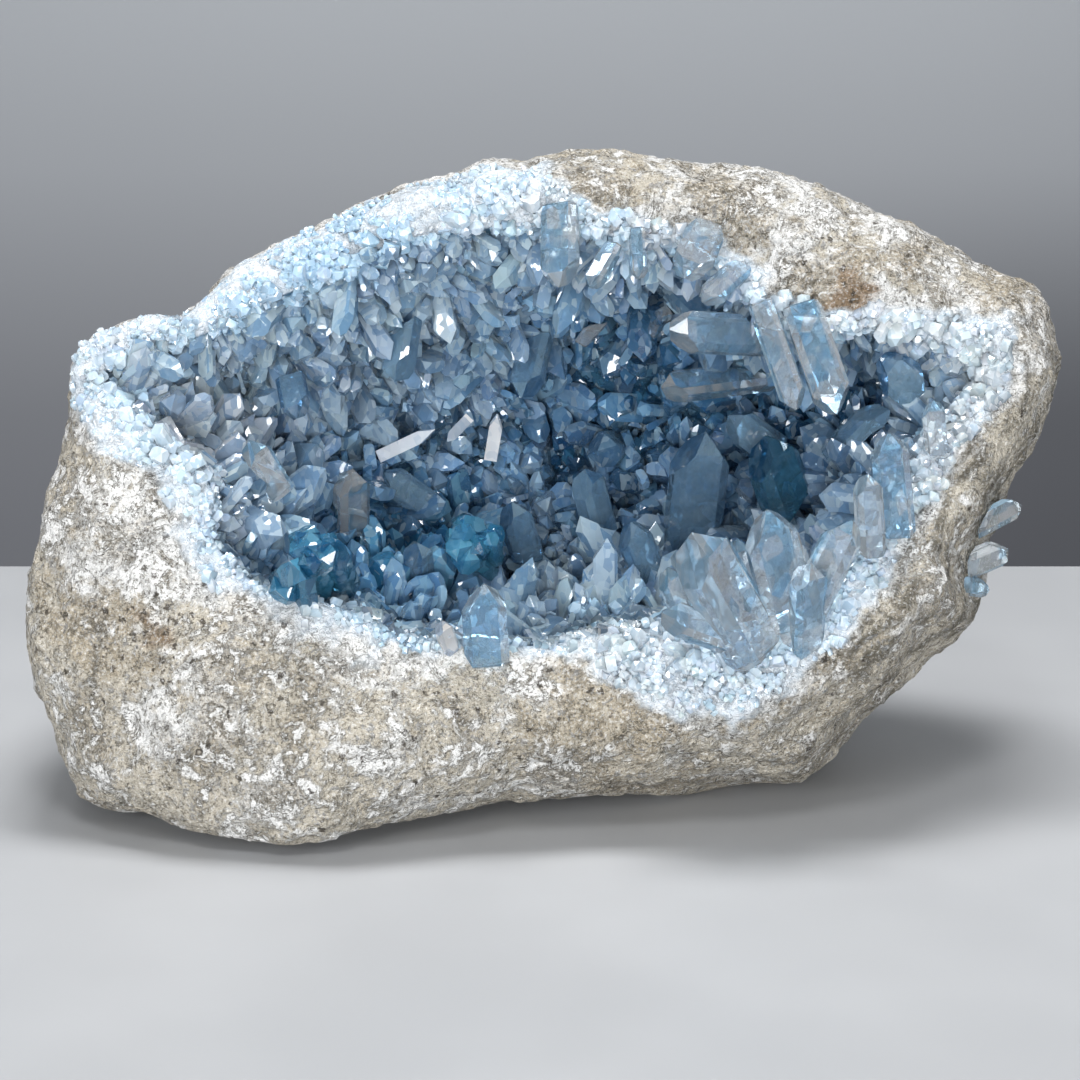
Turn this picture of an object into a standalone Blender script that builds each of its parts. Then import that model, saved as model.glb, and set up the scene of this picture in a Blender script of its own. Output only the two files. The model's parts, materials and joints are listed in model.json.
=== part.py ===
"""Celestite geode: half of a limestone nodule, broken open across its hollow.

The stone is described by its face. Outlines are apparent sizes in millimetres, as seen
from STAND_OFF in front of the mouth and looking down by VIEW_DIP: x to the right, z up,
both from the mouth's middle, and depth away from the viewer. A point further back is
spread outwards in proportion, so the outlines keep their apparent size. The part's own
frame is +Z up with the mouth towards -Y, and the stone stands on Z = 0.
"""

import math

import bmesh
import bpy
import numpy as np
from mathutils import Matrix, Vector
from mathutils.bvhtree import BVHTree

MM = 0.001

# The sight line that the outlines belong to.
STAND_OFF = 733.0
VIEW_DIP = math.radians(12.0)
MOUTH_HEIGHT = 86.75
MOUTH_SHIFT = (4.6, -18.0)
# The finished stone is moved by this, which puts its box's middle over the frame's origin.
CENTRE_SHIFT = (-1.905, -2.535, 0.0)

# The nodule's outline, from the left corner over the top and round.
SILHOUETTE = [
    (-118, 22), (-113, 28), (-103, 32), (-93, 32), (-87, 36), (-81, 43), (-63, 54), (-44, 63),
    (-25, 68), (-18, 71), (-8, 70), (10, 73), (20, 73), (37, 70), (49, 69), (71, 61), (93, 52),
    (111, 41), (117, 37), (119, 32), (121, 23), (120, 14), (116, 1), (110, -8), (104, -24),
    (102, -37), (99, -43), (88, -53), (73, -66), (59, -80), (46, -81), (31, -84), (16, -85),
    (-5, -85), (-15, -85), (-27, -89), (-40, -92), (-52, -95), (-67, -98), (-82, -96),
    (-99, -90), (-115, -86), (-119, -82), (-123, -70), (-126, -62), (-129, -52), (-130, -40),
    (-128, -29), (-126, -22), (-122, -2), (-120, 10),
]

# The edge where the broken rim turns into the hollow.
MOUTH = [
    (-110, 16), (-109, 22), (-100, 24), (-88, 27), (-71, 37), (-54, 44), (-34, 53), (-15, 57),
    (2, 56), (20, 53), (34, 50), (45, 42), (56, 33), (71, 32), (84, 31), (95, 27), (102, 21),
    (99, 13), (90, 4), (81, -12), (74, -26), (65, -38), (54, -45), (39, -46), (24, -44),
    (10, -46), (-4, -49), (-20, -48), (-32, -48), (-41, -46), (-50, -40), (-64, -35),
    (-73, -34), (-79, -27), (-83, -18), (-82, -10), (-91, -1), (-103, 8),
]

# Around the face, by clock angle in degrees from +x towards +z.
WIDEST_DEPTH = [
    (0, 22), (20, 20), (50, 30), (90, 32), (130, 26), (165, 8), (180, -2), (200, -8),
    (217, -6), (222, -12), (229, -20), (236, -25), (241, -18), (246, -12), (253, -6),
    (266, 0), (281, 8), (290, 12), (300, 19), (306, 21), (318, 24), (335, 26),
]
BACK_FULLNESS = [
    (0, 0.8), (60, 0.8), (120, 0.8), (180, 0.75), (235, 0.62), (270, 0.55), (310, 0.62),
]
HOLLOW_TAPER = [
    (0, 1.0), (40, 0.95), (80, 1.15), (120, 1.5), (165, 1.45), (190, 1.0), (240, 0.85), (300, 0.9),
]

# Where the crust begins, from 0 at the rim's crest to 1 at the mouth's edge.
CRUST_START = [
    (0, 0.45), (20, 0.75), (45, 0.82), (65, 0.7), (80, 0.35), (100, 0.05), (160, 0.05),
    (170, 0.05), (178, 0.2), (186, 0.45), (198, 0.75), (208, 0.82), (255, 0.82), (270, 0.75),
    (285, 0.6), (300, 0.45), (330, 0.5), (345, 0.5),
]

# Depths along the sight line, and the roundness of the back and of the rim.
BACK_DEPTH = 92.0
BACK_ROUNDNESS = 0.9
HOLLOW_DEPTH = 60.0
FACE_DEPTH = -8.0
FACE_LEAN = 0.30
CREST_SHARE = 0.5
MOUTH_STEP = 4.0
RIM_CURVE = 1.6
# Where the broken face stands proud: apparent place, radius, height.
BULGES = [((-60, -62), 40.0, 13.0), ((-88, -10), 26.0, 7.0), ((75, -48), 30.0, 4.0)]

# The gap that is left between stone, crust and crystals: a distance towards the viewer, and a
# share of the distance to the axis.
GAP_FORWARD = 0.5
GAP_DRAW = 0.011

# The crystal crust that lines the hollow: its thickness towards the viewer at its edge and in the
# hollow, the same as shares of the distance to the axis, and its points, which fade out towards
# the hollow's floor, where the grid lines run together.
CRUST_EDGE = 1.6
CRUST_DEEP = 9.0
CRUST_DEEP_ROW = 3.5
CRUST_DRAW_EDGE = 0.03
CRUST_DRAW = 0.1
CRUST_POINTS = 5.0
POINTS_DRAW = 0.04
POINTS_FADE = 60.0

# The underside stands on four low feet with a shallow hollow between them.
FEET = [(-62, -28), (42, -6), (-46, 28), (28, 30)]
FOOT_RADIUS = 26.0
FOOT_FLAT = 1.3
UNDERSIDE_RISE = 3.5

# Grid lines: around the face, then down the profile from the back to the hollow's floor.
AROUND = 64
BACK_ROWS, FRONT_ROWS, RIM_ROWS, HOLLOW_ROWS = 8, 5, 3, 9
CRUST_ROW = BACK_ROWS - 1 + FRONT_ROWS + 1

# Slow lumps of the stone, as (wave length, height), and how calm they are at the widest line.
WAVES = [(110, 0.9), (70, 0.8), (45, 0.6), (30, 0.45)]
CALM = 0.3

STONE = ("limestone", (0.60, 0.56, 0.49, 1.0), 0.9)
CRUST = ("celestite_crust", (0.42, 0.55, 0.66, 1.0), 0.35)
CLEAR = ("celestite_clear", (0.70, 0.82, 0.90, 1.0), 0.12)
BLUE = ("celestite_blue", (0.22, 0.45, 0.62, 1.0), 0.15)
SMOKY = ("celestite_smoky", (0.30, 0.38, 0.47, 1.0), 0.15)

# Single crystals and intergrown groups, each with its finish, then its crystals as
# (root x, root z, tip x, tip z, reach towards the viewer, width, thickness, twist in degrees).
CRYSTALS = {
    "blade_hanging_left": (CLEAR, [(50, 33, 58, 10, 10, 6.5, 3.5, 12)]),
    "blade_hanging_right": (CLEAR, [(60, 32, 68, 9, 12, 9.5, 5.0, -8)]),
    "prism_lying_upper": (CLEAR, [(50, 28, 27, 29, 16, 10.0, 7.0, 10)]),
    "prism_lying_lower": (CLEAR, [(49, 18, 25, 15, 15, 8.0, 5.5, 35)]),
    "blade_under_roof": (CLEAR, [(45, 45, 35, 36, 8, 6.5, 3.5, 20)]),
    "prism_top_blunt": (CLEAR, [(35, 52, 31, 42, 8, 10.0, 7.0, 0)]),
    "needle_top_left": (CLEAR, [(12, 48, 7.5, 40, 8, 5.0, 4.0, 30)]),
    "needle_top_right": (CLEAR, [(19, 52, 19.5, 42, 7, 4.2, 3.2, 10)]),
    "prism_mouth_top": (BLUE, [(0, 56, 0, 40, 9, 9.0, 6.0, 15)]),
    "diamond_small": (CLEAR, [(24, 30, 26, 35, 9, 4.5, 3.5, 40)]),
    "needle_middle": (CLEAR, [(6, 28, 17, 40, 9, 4.5, 3.5, 25)]),
    "prism_standing_block": (SMOKY, [(32, -22, 35, 4, 12, 14.0, 10.0, 15)]),
    "prism_dark_blue": (BLUE, [(56, -14, 50, 3, 9, 13.0, 9.0, 30)]),
    "prism_pocket_roof": (SMOKY, [(88, 14, 78, 22, 8, 11.0, 6.0, 0)]),
    "prism_pocket_floor": (SMOKY, [(70, 0, 80, 10, 9, 10.0, 7.0, 20)]),
    "prism_slate_left": (SMOKY, [(52, 0, 41, 8, 7, 9.0, 6.0, 10)]),
    "group_lower_right": (
        CLEAR,
        [
            (46, -46, 32, -21, 14, 14.5, 10.5, 38),
            (44, -47, 25, -40, 12, 7.5, 5.5, 25),
            (56, -39, 50, -15, 9, 12.5, 9.0, 8),
            (58, -44, 71, -17, 10, 9.0, 6.0, -12),
            (60, -46, 61, -28, 12, 8.0, 6.0, 30),
        ],
    ),
    "prism_lower_inner": (CLEAR, [(47, -38, 43, -22, 6, 7.5, 5.5, 20)]),
    "prism_lower_left": (CLEAR, [(32, -43, 26, -29, 7, 6.5, 5.0, 15)]),
    "column_right_tall": (CLEAR, [(82, -18, 80, 4, 8, 9.0, 7.0, 5)]),
    "column_right_short": (CLEAR, [(76, -24, 75, -6, 8, 6.5, 5.0, 20)]),
    "column_right_small": (CLEAR, [(92, 1, 91, 12, 5, 5.5, 4.5, 0)]),
    "group_blue_left": (
        BLUE,
        [(-60, -36, -66, -21, 12, 17.0, 11.0, 25), (-55, -34, -52, -22, 9, 10.0, 8.0, 60)],
    ),
    "group_blue_middle": (
        BLUE,
        [(-24, -36, -24, -17, 12, 11.0, 8.0, 20), (-17, -36, -14, -21, 11, 11.0, 8.0, 50)],
    ),
    "prism_clear_front": (CLEAR, [(-18, -48, -19, -33, 5, 10.5, 8.5, 0)]),
    "prism_pink_front": (CLEAR, [(-27, -48, -29, -42, 4, 4.0, 3.5, 20)]),
    "prism_icy_left": (CLEAR, [(-51, -20, -51, -5, 10, 8.5, 6.5, 30)]),
    "tablet_grey_left": (SMOKY, [(-33, -13, -43, -6, 9, 8.0, 4.0, 0)]),
    "prism_dark_left": (SMOKY, [(-34, -32, -35, -23, 8, 7.0, 6.0, 45)]),
    "flash_long": (CLEAR, [(-43, -1, -30, 5, 11, 5.0, 3.5, 30)]),
    "flash_short": (CLEAR, [(-27, 3, -22, 8, 9, 4.0, 3.0, 20)]),
    "flash_point": (CLEAR, [(-17, 0, -15, 9, 9, 5.0, 3.5, 15)]),
    "prism_left_mouth": (CLEAR, [(-70, -8, -76, 2, 6, 7.0, 6.0, 20)]),
    "prism_outer_right": (CLEAR, [(103, -18, 112.5, -13, -2, 6.0, 5.5, 0)]),
    "prism_floor_left": (SMOKY, [(-8, -26, -12, -13, 9, 8.0, 6.0, 20)]),
    "prism_floor_middle": (SMOKY, [(10, -20, 6, -5, 9, 9.0, 6.5, 45)]),
    "prism_floor_right": (SMOKY, [(22, -32, 17, -18, 9, 8.5, 6.0, 10)]),
    "prism_wall_middle": (SMOKY, [(-6, 26, -9, 13, 9, 8.0, 6.0, 25)]),
    "prism_wall_left": (SMOKY, [(-38, 30, -40, 17, 9, 8.0, 6.0, 40)]),
    "prism_wall_far_left": (SMOKY, [(-66, 18, -64, 8, 8, 7.0, 5.0, 15)]),
    "group_outer_right": (
        CLEAR,
        [(100, -28, 109.5, -24, -2, 6.5, 5.0, 30), (99, -33, 105, -34, -2, 4.5, 4.0, 10)],
    ),
}

# How far a crystal is sunk into the crust before it is cut off clear of it.
ROOT_BURIED = 3.5
ROOT_SHARE = 0.45

# A crystal's shape: how far its prism's corners are cut, and the slopes of its roofed tip.
CHAMFER = 0.8
ROOF_SLOPE = math.radians(52)
HIP_SLOPE = math.radians(38)

# Sight lines start this far in front of the face.
EYE_START = -250.0


def clear_scene():
    """Removes every object of the scene that the script starts in."""
    for item in list(bpy.data.objects):
        bpy.data.objects.remove(item, do_unlink=True)


def cyclic_curve(angles, values, at):
    """Smooth closed curve through (angle, value) pairs: a cubic Hermite with Catmull-Rom slopes."""
    order = np.argsort(angles)
    a = np.asarray(angles, float)[order]
    v = np.asarray(values, float)[order]
    turn = 2 * math.pi
    a = np.concatenate([a[-2:] - turn, a, a[:2] + turn])
    v = np.concatenate([v[-2:], v, v[:2]])
    slope = np.empty_like(v)
    slope[1:-1] = (v[2:] - v[:-2]) / (a[2:] - a[:-2])
    slope[0], slope[-1] = slope[1], slope[-2]
    at = np.mod(at, turn)
    i = np.clip(np.searchsorted(a, at) - 1, 1, len(a) - 3)
    step = a[i + 1] - a[i]
    t = (at - a[i]) / step
    return (
        v[i] * (1 + 2 * t) * (1 - t) ** 2
        + slope[i] * step * t * (1 - t) ** 2
        + v[i + 1] * t * t * (3 - 2 * t)
        - slope[i + 1] * step * t * t * (1 - t)
    )


def outline_radius(points, at):
    """Distance from the mouth's middle to an outline, at each angle."""
    x, z = np.array(points, float).T
    return cyclic_curve(np.mod(np.arctan2(z, x), 2 * math.pi), np.hypot(x, z), at)


def by_clock(pairs, at):
    """A quantity given by clock angle in degrees, at each angle."""
    degrees, values = np.array(pairs, float).T
    return cyclic_curve(np.radians(degrees), values, at)


def grid_angles(count):
    """Angles that cut the silhouette into equal lengths."""
    fine = np.linspace(0, 2 * math.pi, 2001)
    r = outline_radius(SILHOUETTE, fine)
    x, z = r * np.cos(fine), r * np.sin(fine)
    length = np.concatenate([[0], np.cumsum(np.hypot(np.diff(x), np.diff(z)))])
    return np.interp(np.arange(count) / count * length[-1], length, fine)


def face_depth(x, z):
    """Depth of the broken face: a plane leaning back, less the bulges that stand proud of it."""
    depth = FACE_DEPTH + FACE_LEAN * z
    for (bx, bz), radius, height in BULGES:
        depth = depth - height * np.exp(-((x - bx) ** 2 + (z - bz) ** 2) / radius**2)
    return depth


def profile_rows(angle):
    """Stations down the profile, one column for each angle, as parameters from 0 to 4."""
    start = 2 + np.clip(by_clock(CRUST_START, angle), 0.05, 0.95)
    ones = np.ones_like(angle)
    rows = [ones * s for s in np.linspace(0, 1, BACK_ROWS, endpoint=False)[1:]]
    rows += [ones * s for s in np.linspace(1, 2, FRONT_ROWS, endpoint=False)]
    rows += [2 * ones, start]
    inner = np.linspace(0, 1, RIM_ROWS, endpoint=False)[1:]
    rows += [start + (3 - start) * s for s in inner]
    rows += [ones * s for s in np.linspace(3, 4, HOLLOW_ROWS, endpoint=False)]
    return np.array(rows)


def apparent_profile(angle, s):
    """Apparent radius and depth of the nodule's surface.

    s runs 0 to 1 from the back to the widest line, on to 2 at the rim's crest, 3 at the
    mouth's edge and 4 at the hollow's floor. Each stretch is a quarter of a superellipse,
    but for the rim's face, which is a slow curve.
    """
    wide, mouth = outline_radius(SILHOUETTE, angle), outline_radius(MOUTH, angle)
    wide_depth = by_clock(WIDEST_DEPTH, angle)
    crest = mouth + CREST_SHARE * (wide - mouth)
    crest_depth = face_depth(crest * np.cos(angle), crest * np.sin(angle))
    mouth_depth = face_depth(mouth * np.cos(angle), mouth * np.sin(angle)) + MOUTH_STEP
    fullness, taper = by_clock(BACK_FULLNESS, angle), by_clock(HOLLOW_TAPER, angle)
    quarter = math.pi / 2
    back = np.clip(s, 0, 1) * quarter
    front = np.clip(s - 1, 0, 1) * quarter
    rim = np.clip(s - 2, 0, 1)
    hollow = np.clip(s - 3, 0, 1) * quarter
    sin_back, cos_back = np.sin(back), np.abs(np.cos(back))
    radius = np.select(
        [s <= 1, s <= 2, s <= 3],
        [
            wide * sin_back**fullness,
            crest + (wide - crest) * np.cos(front),
            crest + (mouth - crest) * rim,
        ],
        mouth * np.abs(np.cos(hollow)) ** taper,
    )
    depth = np.select(
        [s <= 1, s <= 2, s <= 3],
        [
            wide_depth + (BACK_DEPTH - wide_depth) * cos_back**BACK_ROUNDNESS,
            wide_depth + (crest_depth - wide_depth) * np.sin(front),
            crest_depth + (mouth_depth - crest_depth) * rim**RIM_CURVE,
        ],
        mouth_depth + (HOLLOW_DEPTH - mouth_depth) * np.sin(hollow) ** taper,
    )
    return radius, depth


def to_part(x, z, depth):
    """Point in the part's frame, in millimetres, for an apparent place and a depth."""
    spread = 1 + depth / STAND_OFF
    up = z * spread
    return np.stack(
        [
            x * spread + MOUTH_SHIFT[0],
            depth * math.cos(VIEW_DIP) + up * math.sin(VIEW_DIP) + MOUTH_SHIFT[1],
            MOUTH_HEIGHT + up * math.cos(VIEW_DIP) - depth * math.sin(VIEW_DIP),
        ],
        axis=-1,
    )


def warp(points, amount):
    """Points moved by a slow, uneven drift in all three directions: a sum of fixed sine waves."""
    rng = np.random.default_rng(7)
    drift = np.zeros_like(points)
    for wave_length, height in WAVES:
        for _ in range(3):
            direction = rng.normal(size=3)
            direction *= 2 * math.pi / (wave_length * np.linalg.norm(direction))
            push = rng.normal(size=3)
            push *= height / np.linalg.norm(push)
            drift += push * np.sin(points @ direction + rng.uniform(0, 2 * math.pi))[..., None]
    return points + drift * amount[..., None]


def unit(vectors):
    """Vectors brought to length one."""
    return vectors / np.linalg.norm(vectors, axis=-1, keepdims=True)


def grid_normals(points):
    """Unit normals of a grid that closes round its second axis, from the triangles at each point."""
    here, beyond = points[:-1], points[1:]
    near, far = np.roll(here, -1, axis=1), np.roll(beyond, -1, axis=1)
    first = unit(np.cross(near - here, far - here))
    second = unit(np.cross(far - here, beyond - here))
    total = np.zeros_like(points)
    total[:-1] += first + second + np.roll(first, 1, axis=1)
    total[1:] += second + np.roll(first + second, 1, axis=1)
    return unit(total)


def on_feet(points):
    """The underside cut off at the ground, and hollowed a little between the feet."""
    x, y = points[..., 0], points[..., 1]
    near = np.max(
        [np.exp(-(((x - fx) ** 2 + (y - fy) ** 2) / FOOT_RADIUS**2) ** 1.5) for fx, fy in FEET],
        axis=0,
    )
    ground = UNDERSIDE_RISE * np.clip(1 - FOOT_FLAT * near, 0, 1)
    stood = points.copy()
    stood[..., 2] = np.maximum(points[..., 2], ground)
    return stood


def stood_grid(angle, rows, radius, depth):
    """Grid of points in the part's frame for a profile's apparent radii and depths."""
    points = to_part(radius * np.cos(angle), radius * np.sin(angle), depth)
    amount = np.clip(CALM + np.abs(rows - 1) * 1.2, 0, 1)
    return on_feet(warp(points, amount)) + CENTRE_SHIFT


def closed_grid(name, rows):
    """Mesh of a grid that closes round itself, capped at each end by its last ring's middle."""
    count, around = rows.shape[:2]
    ring = np.arange(around)
    following = np.roll(ring, -1)
    faces = []
    for r in range(count - 1):
        low, high = r * around, (r + 1) * around
        faces += [(low + a, low + b, high + b) for a, b in zip(ring, following)]
        faces += [(low + a, high + b, high + a) for a, b in zip(ring, following)]
    first, last = count * around, count * around + 1
    faces += [(first, b, a) for a, b in zip(ring, following)]
    top = (count - 1) * around
    faces += [(last, top + a, top + b) for a, b in zip(ring, following)]
    poles = [rows[0].mean(axis=0), rows[-1].mean(axis=0)]
    points = np.concatenate([rows.reshape(-1, 3), poles]) * MM
    mesh = bpy.data.meshes.new(name)
    mesh.from_pydata(points.tolist(), [], [tuple(int(i) for i in f) for f in faces])
    return face_outwards(mesh)


def face_outwards(mesh):
    """Makes a closed mesh's faces point out of it."""
    shape = bmesh.new()
    shape.from_mesh(mesh)
    bmesh.ops.recalc_face_normals(shape, faces=shape.faces)
    if shape.calc_volume(signed=True) < 0:
        bmesh.ops.reverse_faces(shape, faces=shape.faces)
    shape.to_mesh(mesh)
    shape.free()
    return mesh


def material_of(finish):
    """The Principled material of a finish, made once."""
    name, colour, roughness = finish
    found = bpy.data.materials.get(name)
    if found:
        return found
    made = bpy.data.materials.new(name)
    made.use_nodes = True
    shader = made.node_tree.nodes["Principled BSDF"]
    shader.inputs["Base Color"].default_value = colour
    shader.inputs["Roughness"].default_value = roughness
    shader.inputs["Metallic"].default_value = 0.0
    return made


def place(name, mesh, finish=None, helper=False):
    """Links a mesh as an object, either as a piece of the part or as a hidden cutter."""
    item = bpy.data.objects.new(name, mesh)
    bpy.context.scene.collection.objects.link(item)
    if finish:
        mesh.materials.append(material_of(finish))
    if helper:
        item.hide_render = True
        item.display_type = "WIRE"
    return item


def crust_profile(rows, radius, depth):
    """The crust's crystal side: the stone's profile drawn in towards the axis and brought forward."""
    r, a = np.indices(rows.shape)
    uneven = 0.65 + 0.35 * np.sin(a * 2.9 + r * 1.7)
    peaks = (r % 2) * (a % 2) * uneven * np.clip(radius / POINTS_FADE - 0.2, 0, 1)
    peaks[: RIM_ROWS + 1] = 0.0
    peaks[-1] = 0.0
    inward = np.clip((rows - rows[0]) / (CRUST_DEEP_ROW - rows[0]), 0, 1)
    inward = inward * inward * (3 - 2 * inward)
    forward = CRUST_EDGE + (CRUST_DEEP - CRUST_EDGE) * inward + CRUST_POINTS * peaks
    drawn = CRUST_DRAW_EDGE * past_rim(rows) + CRUST_DRAW * inward + POINTS_DRAW * peaks
    return radius * (1 - drawn), depth - forward


def past_rim(rows):
    """How far each row is from the crust's edge to the mouth's edge, and one beyond it."""
    return np.clip((rows - rows[0]) / (3 - rows[0]), 0, 1)


def clear_of(rows, radius, depth):
    """A profile inside the hollow, moved a little nearer to the axis and to the viewer."""
    return radius * (1 - GAP_DRAW * past_rim(rows)), depth - GAP_FORWARD


def planes_of_crystal(width, thickness, length):
    """Faces of one crystal as (normal, distance): a chamfered prism, its root and a roofed tip."""
    half, thin = width / 2, thickness / 2
    slant = math.atan2(width, thickness) * 0.92
    diagonal = (half * math.cos(slant) + thin * math.sin(slant)) * CHAMFER
    sides = [((sx, 0, 0), half) for sx in (1, -1)] + [((0, sy, 0), thin) for sy in (1, -1)]
    sides += [
        ((sx * math.cos(slant), sy * math.sin(slant), 0), diagonal) for sx in (1, -1) for sy in (1, -1)
    ]
    roof_up, hip_up = math.cos(ROOF_SLOPE), math.cos(HIP_SLOPE)
    roof_out, hip_out = math.sin(ROOF_SLOPE), math.sin(HIP_SLOPE)
    tips = [
        ((roof_out, 0, roof_up), (length + 0.10 * width) * roof_up),
        ((-roof_out, 0, roof_up), (length - 0.04 * width) * roof_up),
        ((0, hip_out, hip_up), (length + 0.05 * thickness) * hip_up),
        ((0, -hip_out, hip_up), length * hip_up),
    ]
    return sides + tips + [((0, 0, -1), 0.0)]


def corners_of(planes):
    """Corners of the solid that lies behind all the planes: where three meet and no other cuts."""
    normals = np.array([p[0] for p in planes], float)
    distance = np.array([p[1] for p in planes], float)
    count = len(planes)
    triples = np.array(
        [(i, j, k) for i in range(count) for j in range(i + 1, count) for k in range(j + 1, count)]
    )
    systems = normals[triples]
    solvable = np.abs(np.linalg.det(systems)) > 1e-6
    corners = np.linalg.solve(systems[solvable], distance[triples[solvable]][..., None])[..., 0]
    inside = (corners @ normals.T <= distance + 1e-6).all(axis=1)
    return np.unique(np.round(corners[inside], 5), axis=0)


def crystal_mesh(name, root, tip, width, thickness, twist, sight):
    """One crystal from its root to its tip, its broad face turned to the viewer before the twist."""
    axis = tip - root
    corners = corners_of(planes_of_crystal(width, thickness, axis.length))
    upright = axis.normalized()
    broad = sight.cross(upright).normalized()
    frame = Matrix((broad, upright.cross(broad), upright)).transposed()
    turned = frame @ Matrix.Rotation(math.radians(twist), 3, "Z")
    shape = bmesh.new()
    for corner in corners:
        shape.verts.new(root + turned @ Vector(corner))
    hull = bmesh.ops.convex_hull(shape, input=shape.verts)
    unused = [v for v in hull["geom_interior"] + hull["geom_unused"] if isinstance(v, bmesh.types.BMVert)]
    bmesh.ops.delete(shape, geom=unused, context="VERTS")
    bmesh.ops.dissolve_limit(
        shape, angle_limit=math.radians(0.5), verts=shape.verts, edges=shape.edges
    )
    bmesh.ops.scale(shape, vec=(MM, MM, MM), verts=shape.verts)
    mesh = bpy.data.meshes.new(name)
    shape.to_mesh(mesh)
    shape.free()
    return face_outwards(mesh)


def spot(x, z, depth):
    """One place on the finished stone, in millimetres."""
    return Vector(to_part(x, z, np.float64(depth)) + CENTRE_SHIFT)


def sight_hit(tree, x, z):
    """Depth at which the sight line through an apparent place first meets the stone or its crust."""
    origin = spot(x, z, EYE_START)
    towards = spot(x, z, 0.0) - origin
    hit, _, _, distance = tree.ray_cast(origin, towards.normalized())
    if hit is None:
        raise ValueError(f"no stone behind the apparent place {x}, {z}")
    return EYE_START * (1 - distance / towards.length)


def subtract(item, cutter):
    """Cuts a hidden cutter from an object."""
    cut = item.modifiers.new("Seat", "BOOLEAN")
    cut.operation = "DIFFERENCE"
    cut.object = cutter


def join(item, other):
    """Joins a hidden crystal to the one it has grown into."""
    grown = item.modifiers.new("Intergrowth", "BOOLEAN")
    grown.operation = "UNION"
    grown.object = other


def make_crystals(tree, seat_cutter):
    """Every named crystal or group, rooted where its sight line meets the crust, and cut off clear."""
    for name, (finish, members) in CRYSTALS.items():
        first = None
        for index, (x, z, tip_x, tip_z, reach, width, thickness, twist) in enumerate(members):
            depth = sight_hit(tree, x, z)
            seat = spot(x, z, depth)
            tip = spot(tip_x, tip_z, depth - reach)
            root = seat - (tip - seat).normalized() * min(ROOT_BURIED, width * ROOT_SHARE)
            sight = (seat - spot(x, z, EYE_START)).normalized()
            own = name if index == 0 else f"{name}_{index}"
            mesh = crystal_mesh(own, root, tip, width, thickness, twist, sight)
            if index == 0:
                first = place(own, mesh, finish)
            else:
                join(first, place(own, mesh, finish, helper=True))
        subtract(first, seat_cutter)


def sight_tree(items):
    """Search tree over the faces of several objects, in millimetres."""
    corners, faces = [], []
    for item in items:
        offset = len(corners)
        corners += [v.co / MM for v in item.data.vertices]
        faces += [[offset + i for i in p.vertices] for p in item.data.polygons]
    return BVHTree.FromPolygons(corners, faces)


def main():
    """Builds the stone, its crust and its crystals."""
    clear_scene()
    angle = grid_angles(AROUND)
    rows = profile_rows(angle)
    radius, depth = apparent_profile(angle, rows)
    surface = stood_grid(angle, rows, radius, depth)
    stone = place("matrix_shell", closed_grid("matrix_shell", surface), STONE)

    lined = slice(CRUST_ROW, None)
    line = rows[lined]
    side = crust_profile(line, radius[lined], depth[lined])
    top = stood_grid(angle, line, *side)
    under = stood_grid(angle, line, *clear_of(line, radius[lined], depth[lined]))
    shell = np.concatenate([under[::-1], top])
    crust = place("crystal_crust", closed_grid("crystal_crust", shell), CRUST)

    outside = surface[:CRUST_ROW] + grid_normals(surface)[:CRUST_ROW] * GAP_FORWARD
    seat = np.concatenate([outside, stood_grid(angle, line, *clear_of(line, *side))])
    cutter = place("crystal_seat", closed_grid("crystal_seat", seat), helper=True)
    make_crystals(sight_tree([stone, crust]), cutter)


main()
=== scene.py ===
"""Celestite geode: the stone's rock skin, its druse, its clear crystals, its table and its light."""
import json
import logging
import math
from dataclasses import dataclass, field
from enum import Enum
from itertools import combinations
from typing import Any, Callable, Sequence

import bmesh
import bpy
import numpy as np
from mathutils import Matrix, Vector


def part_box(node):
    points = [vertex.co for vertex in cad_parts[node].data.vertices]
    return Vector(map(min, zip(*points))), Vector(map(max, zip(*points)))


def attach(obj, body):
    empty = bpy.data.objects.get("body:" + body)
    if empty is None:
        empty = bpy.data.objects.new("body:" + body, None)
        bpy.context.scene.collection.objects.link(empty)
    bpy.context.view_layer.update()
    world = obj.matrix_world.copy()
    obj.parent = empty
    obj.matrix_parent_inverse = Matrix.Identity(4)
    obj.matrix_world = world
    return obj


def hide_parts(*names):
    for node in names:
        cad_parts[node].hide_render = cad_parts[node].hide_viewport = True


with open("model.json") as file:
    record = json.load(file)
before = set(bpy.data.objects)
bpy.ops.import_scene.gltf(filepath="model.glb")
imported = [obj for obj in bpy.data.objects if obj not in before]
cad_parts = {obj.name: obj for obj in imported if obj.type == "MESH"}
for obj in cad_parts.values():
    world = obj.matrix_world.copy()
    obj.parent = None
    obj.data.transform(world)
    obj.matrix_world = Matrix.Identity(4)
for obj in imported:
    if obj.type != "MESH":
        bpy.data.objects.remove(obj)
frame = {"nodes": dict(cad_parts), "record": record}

LOG = logging.getLogger("geode")
MM = 0.001
TURN = 2 * math.pi

Point = tuple[float, float]
Place = tuple[float, float, float]
Pairs = Sequence[Point]
Spots = Sequence[tuple[Point, float, float]]
Colour = tuple[float, float, float]


# Smooth curves and random fields


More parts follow.
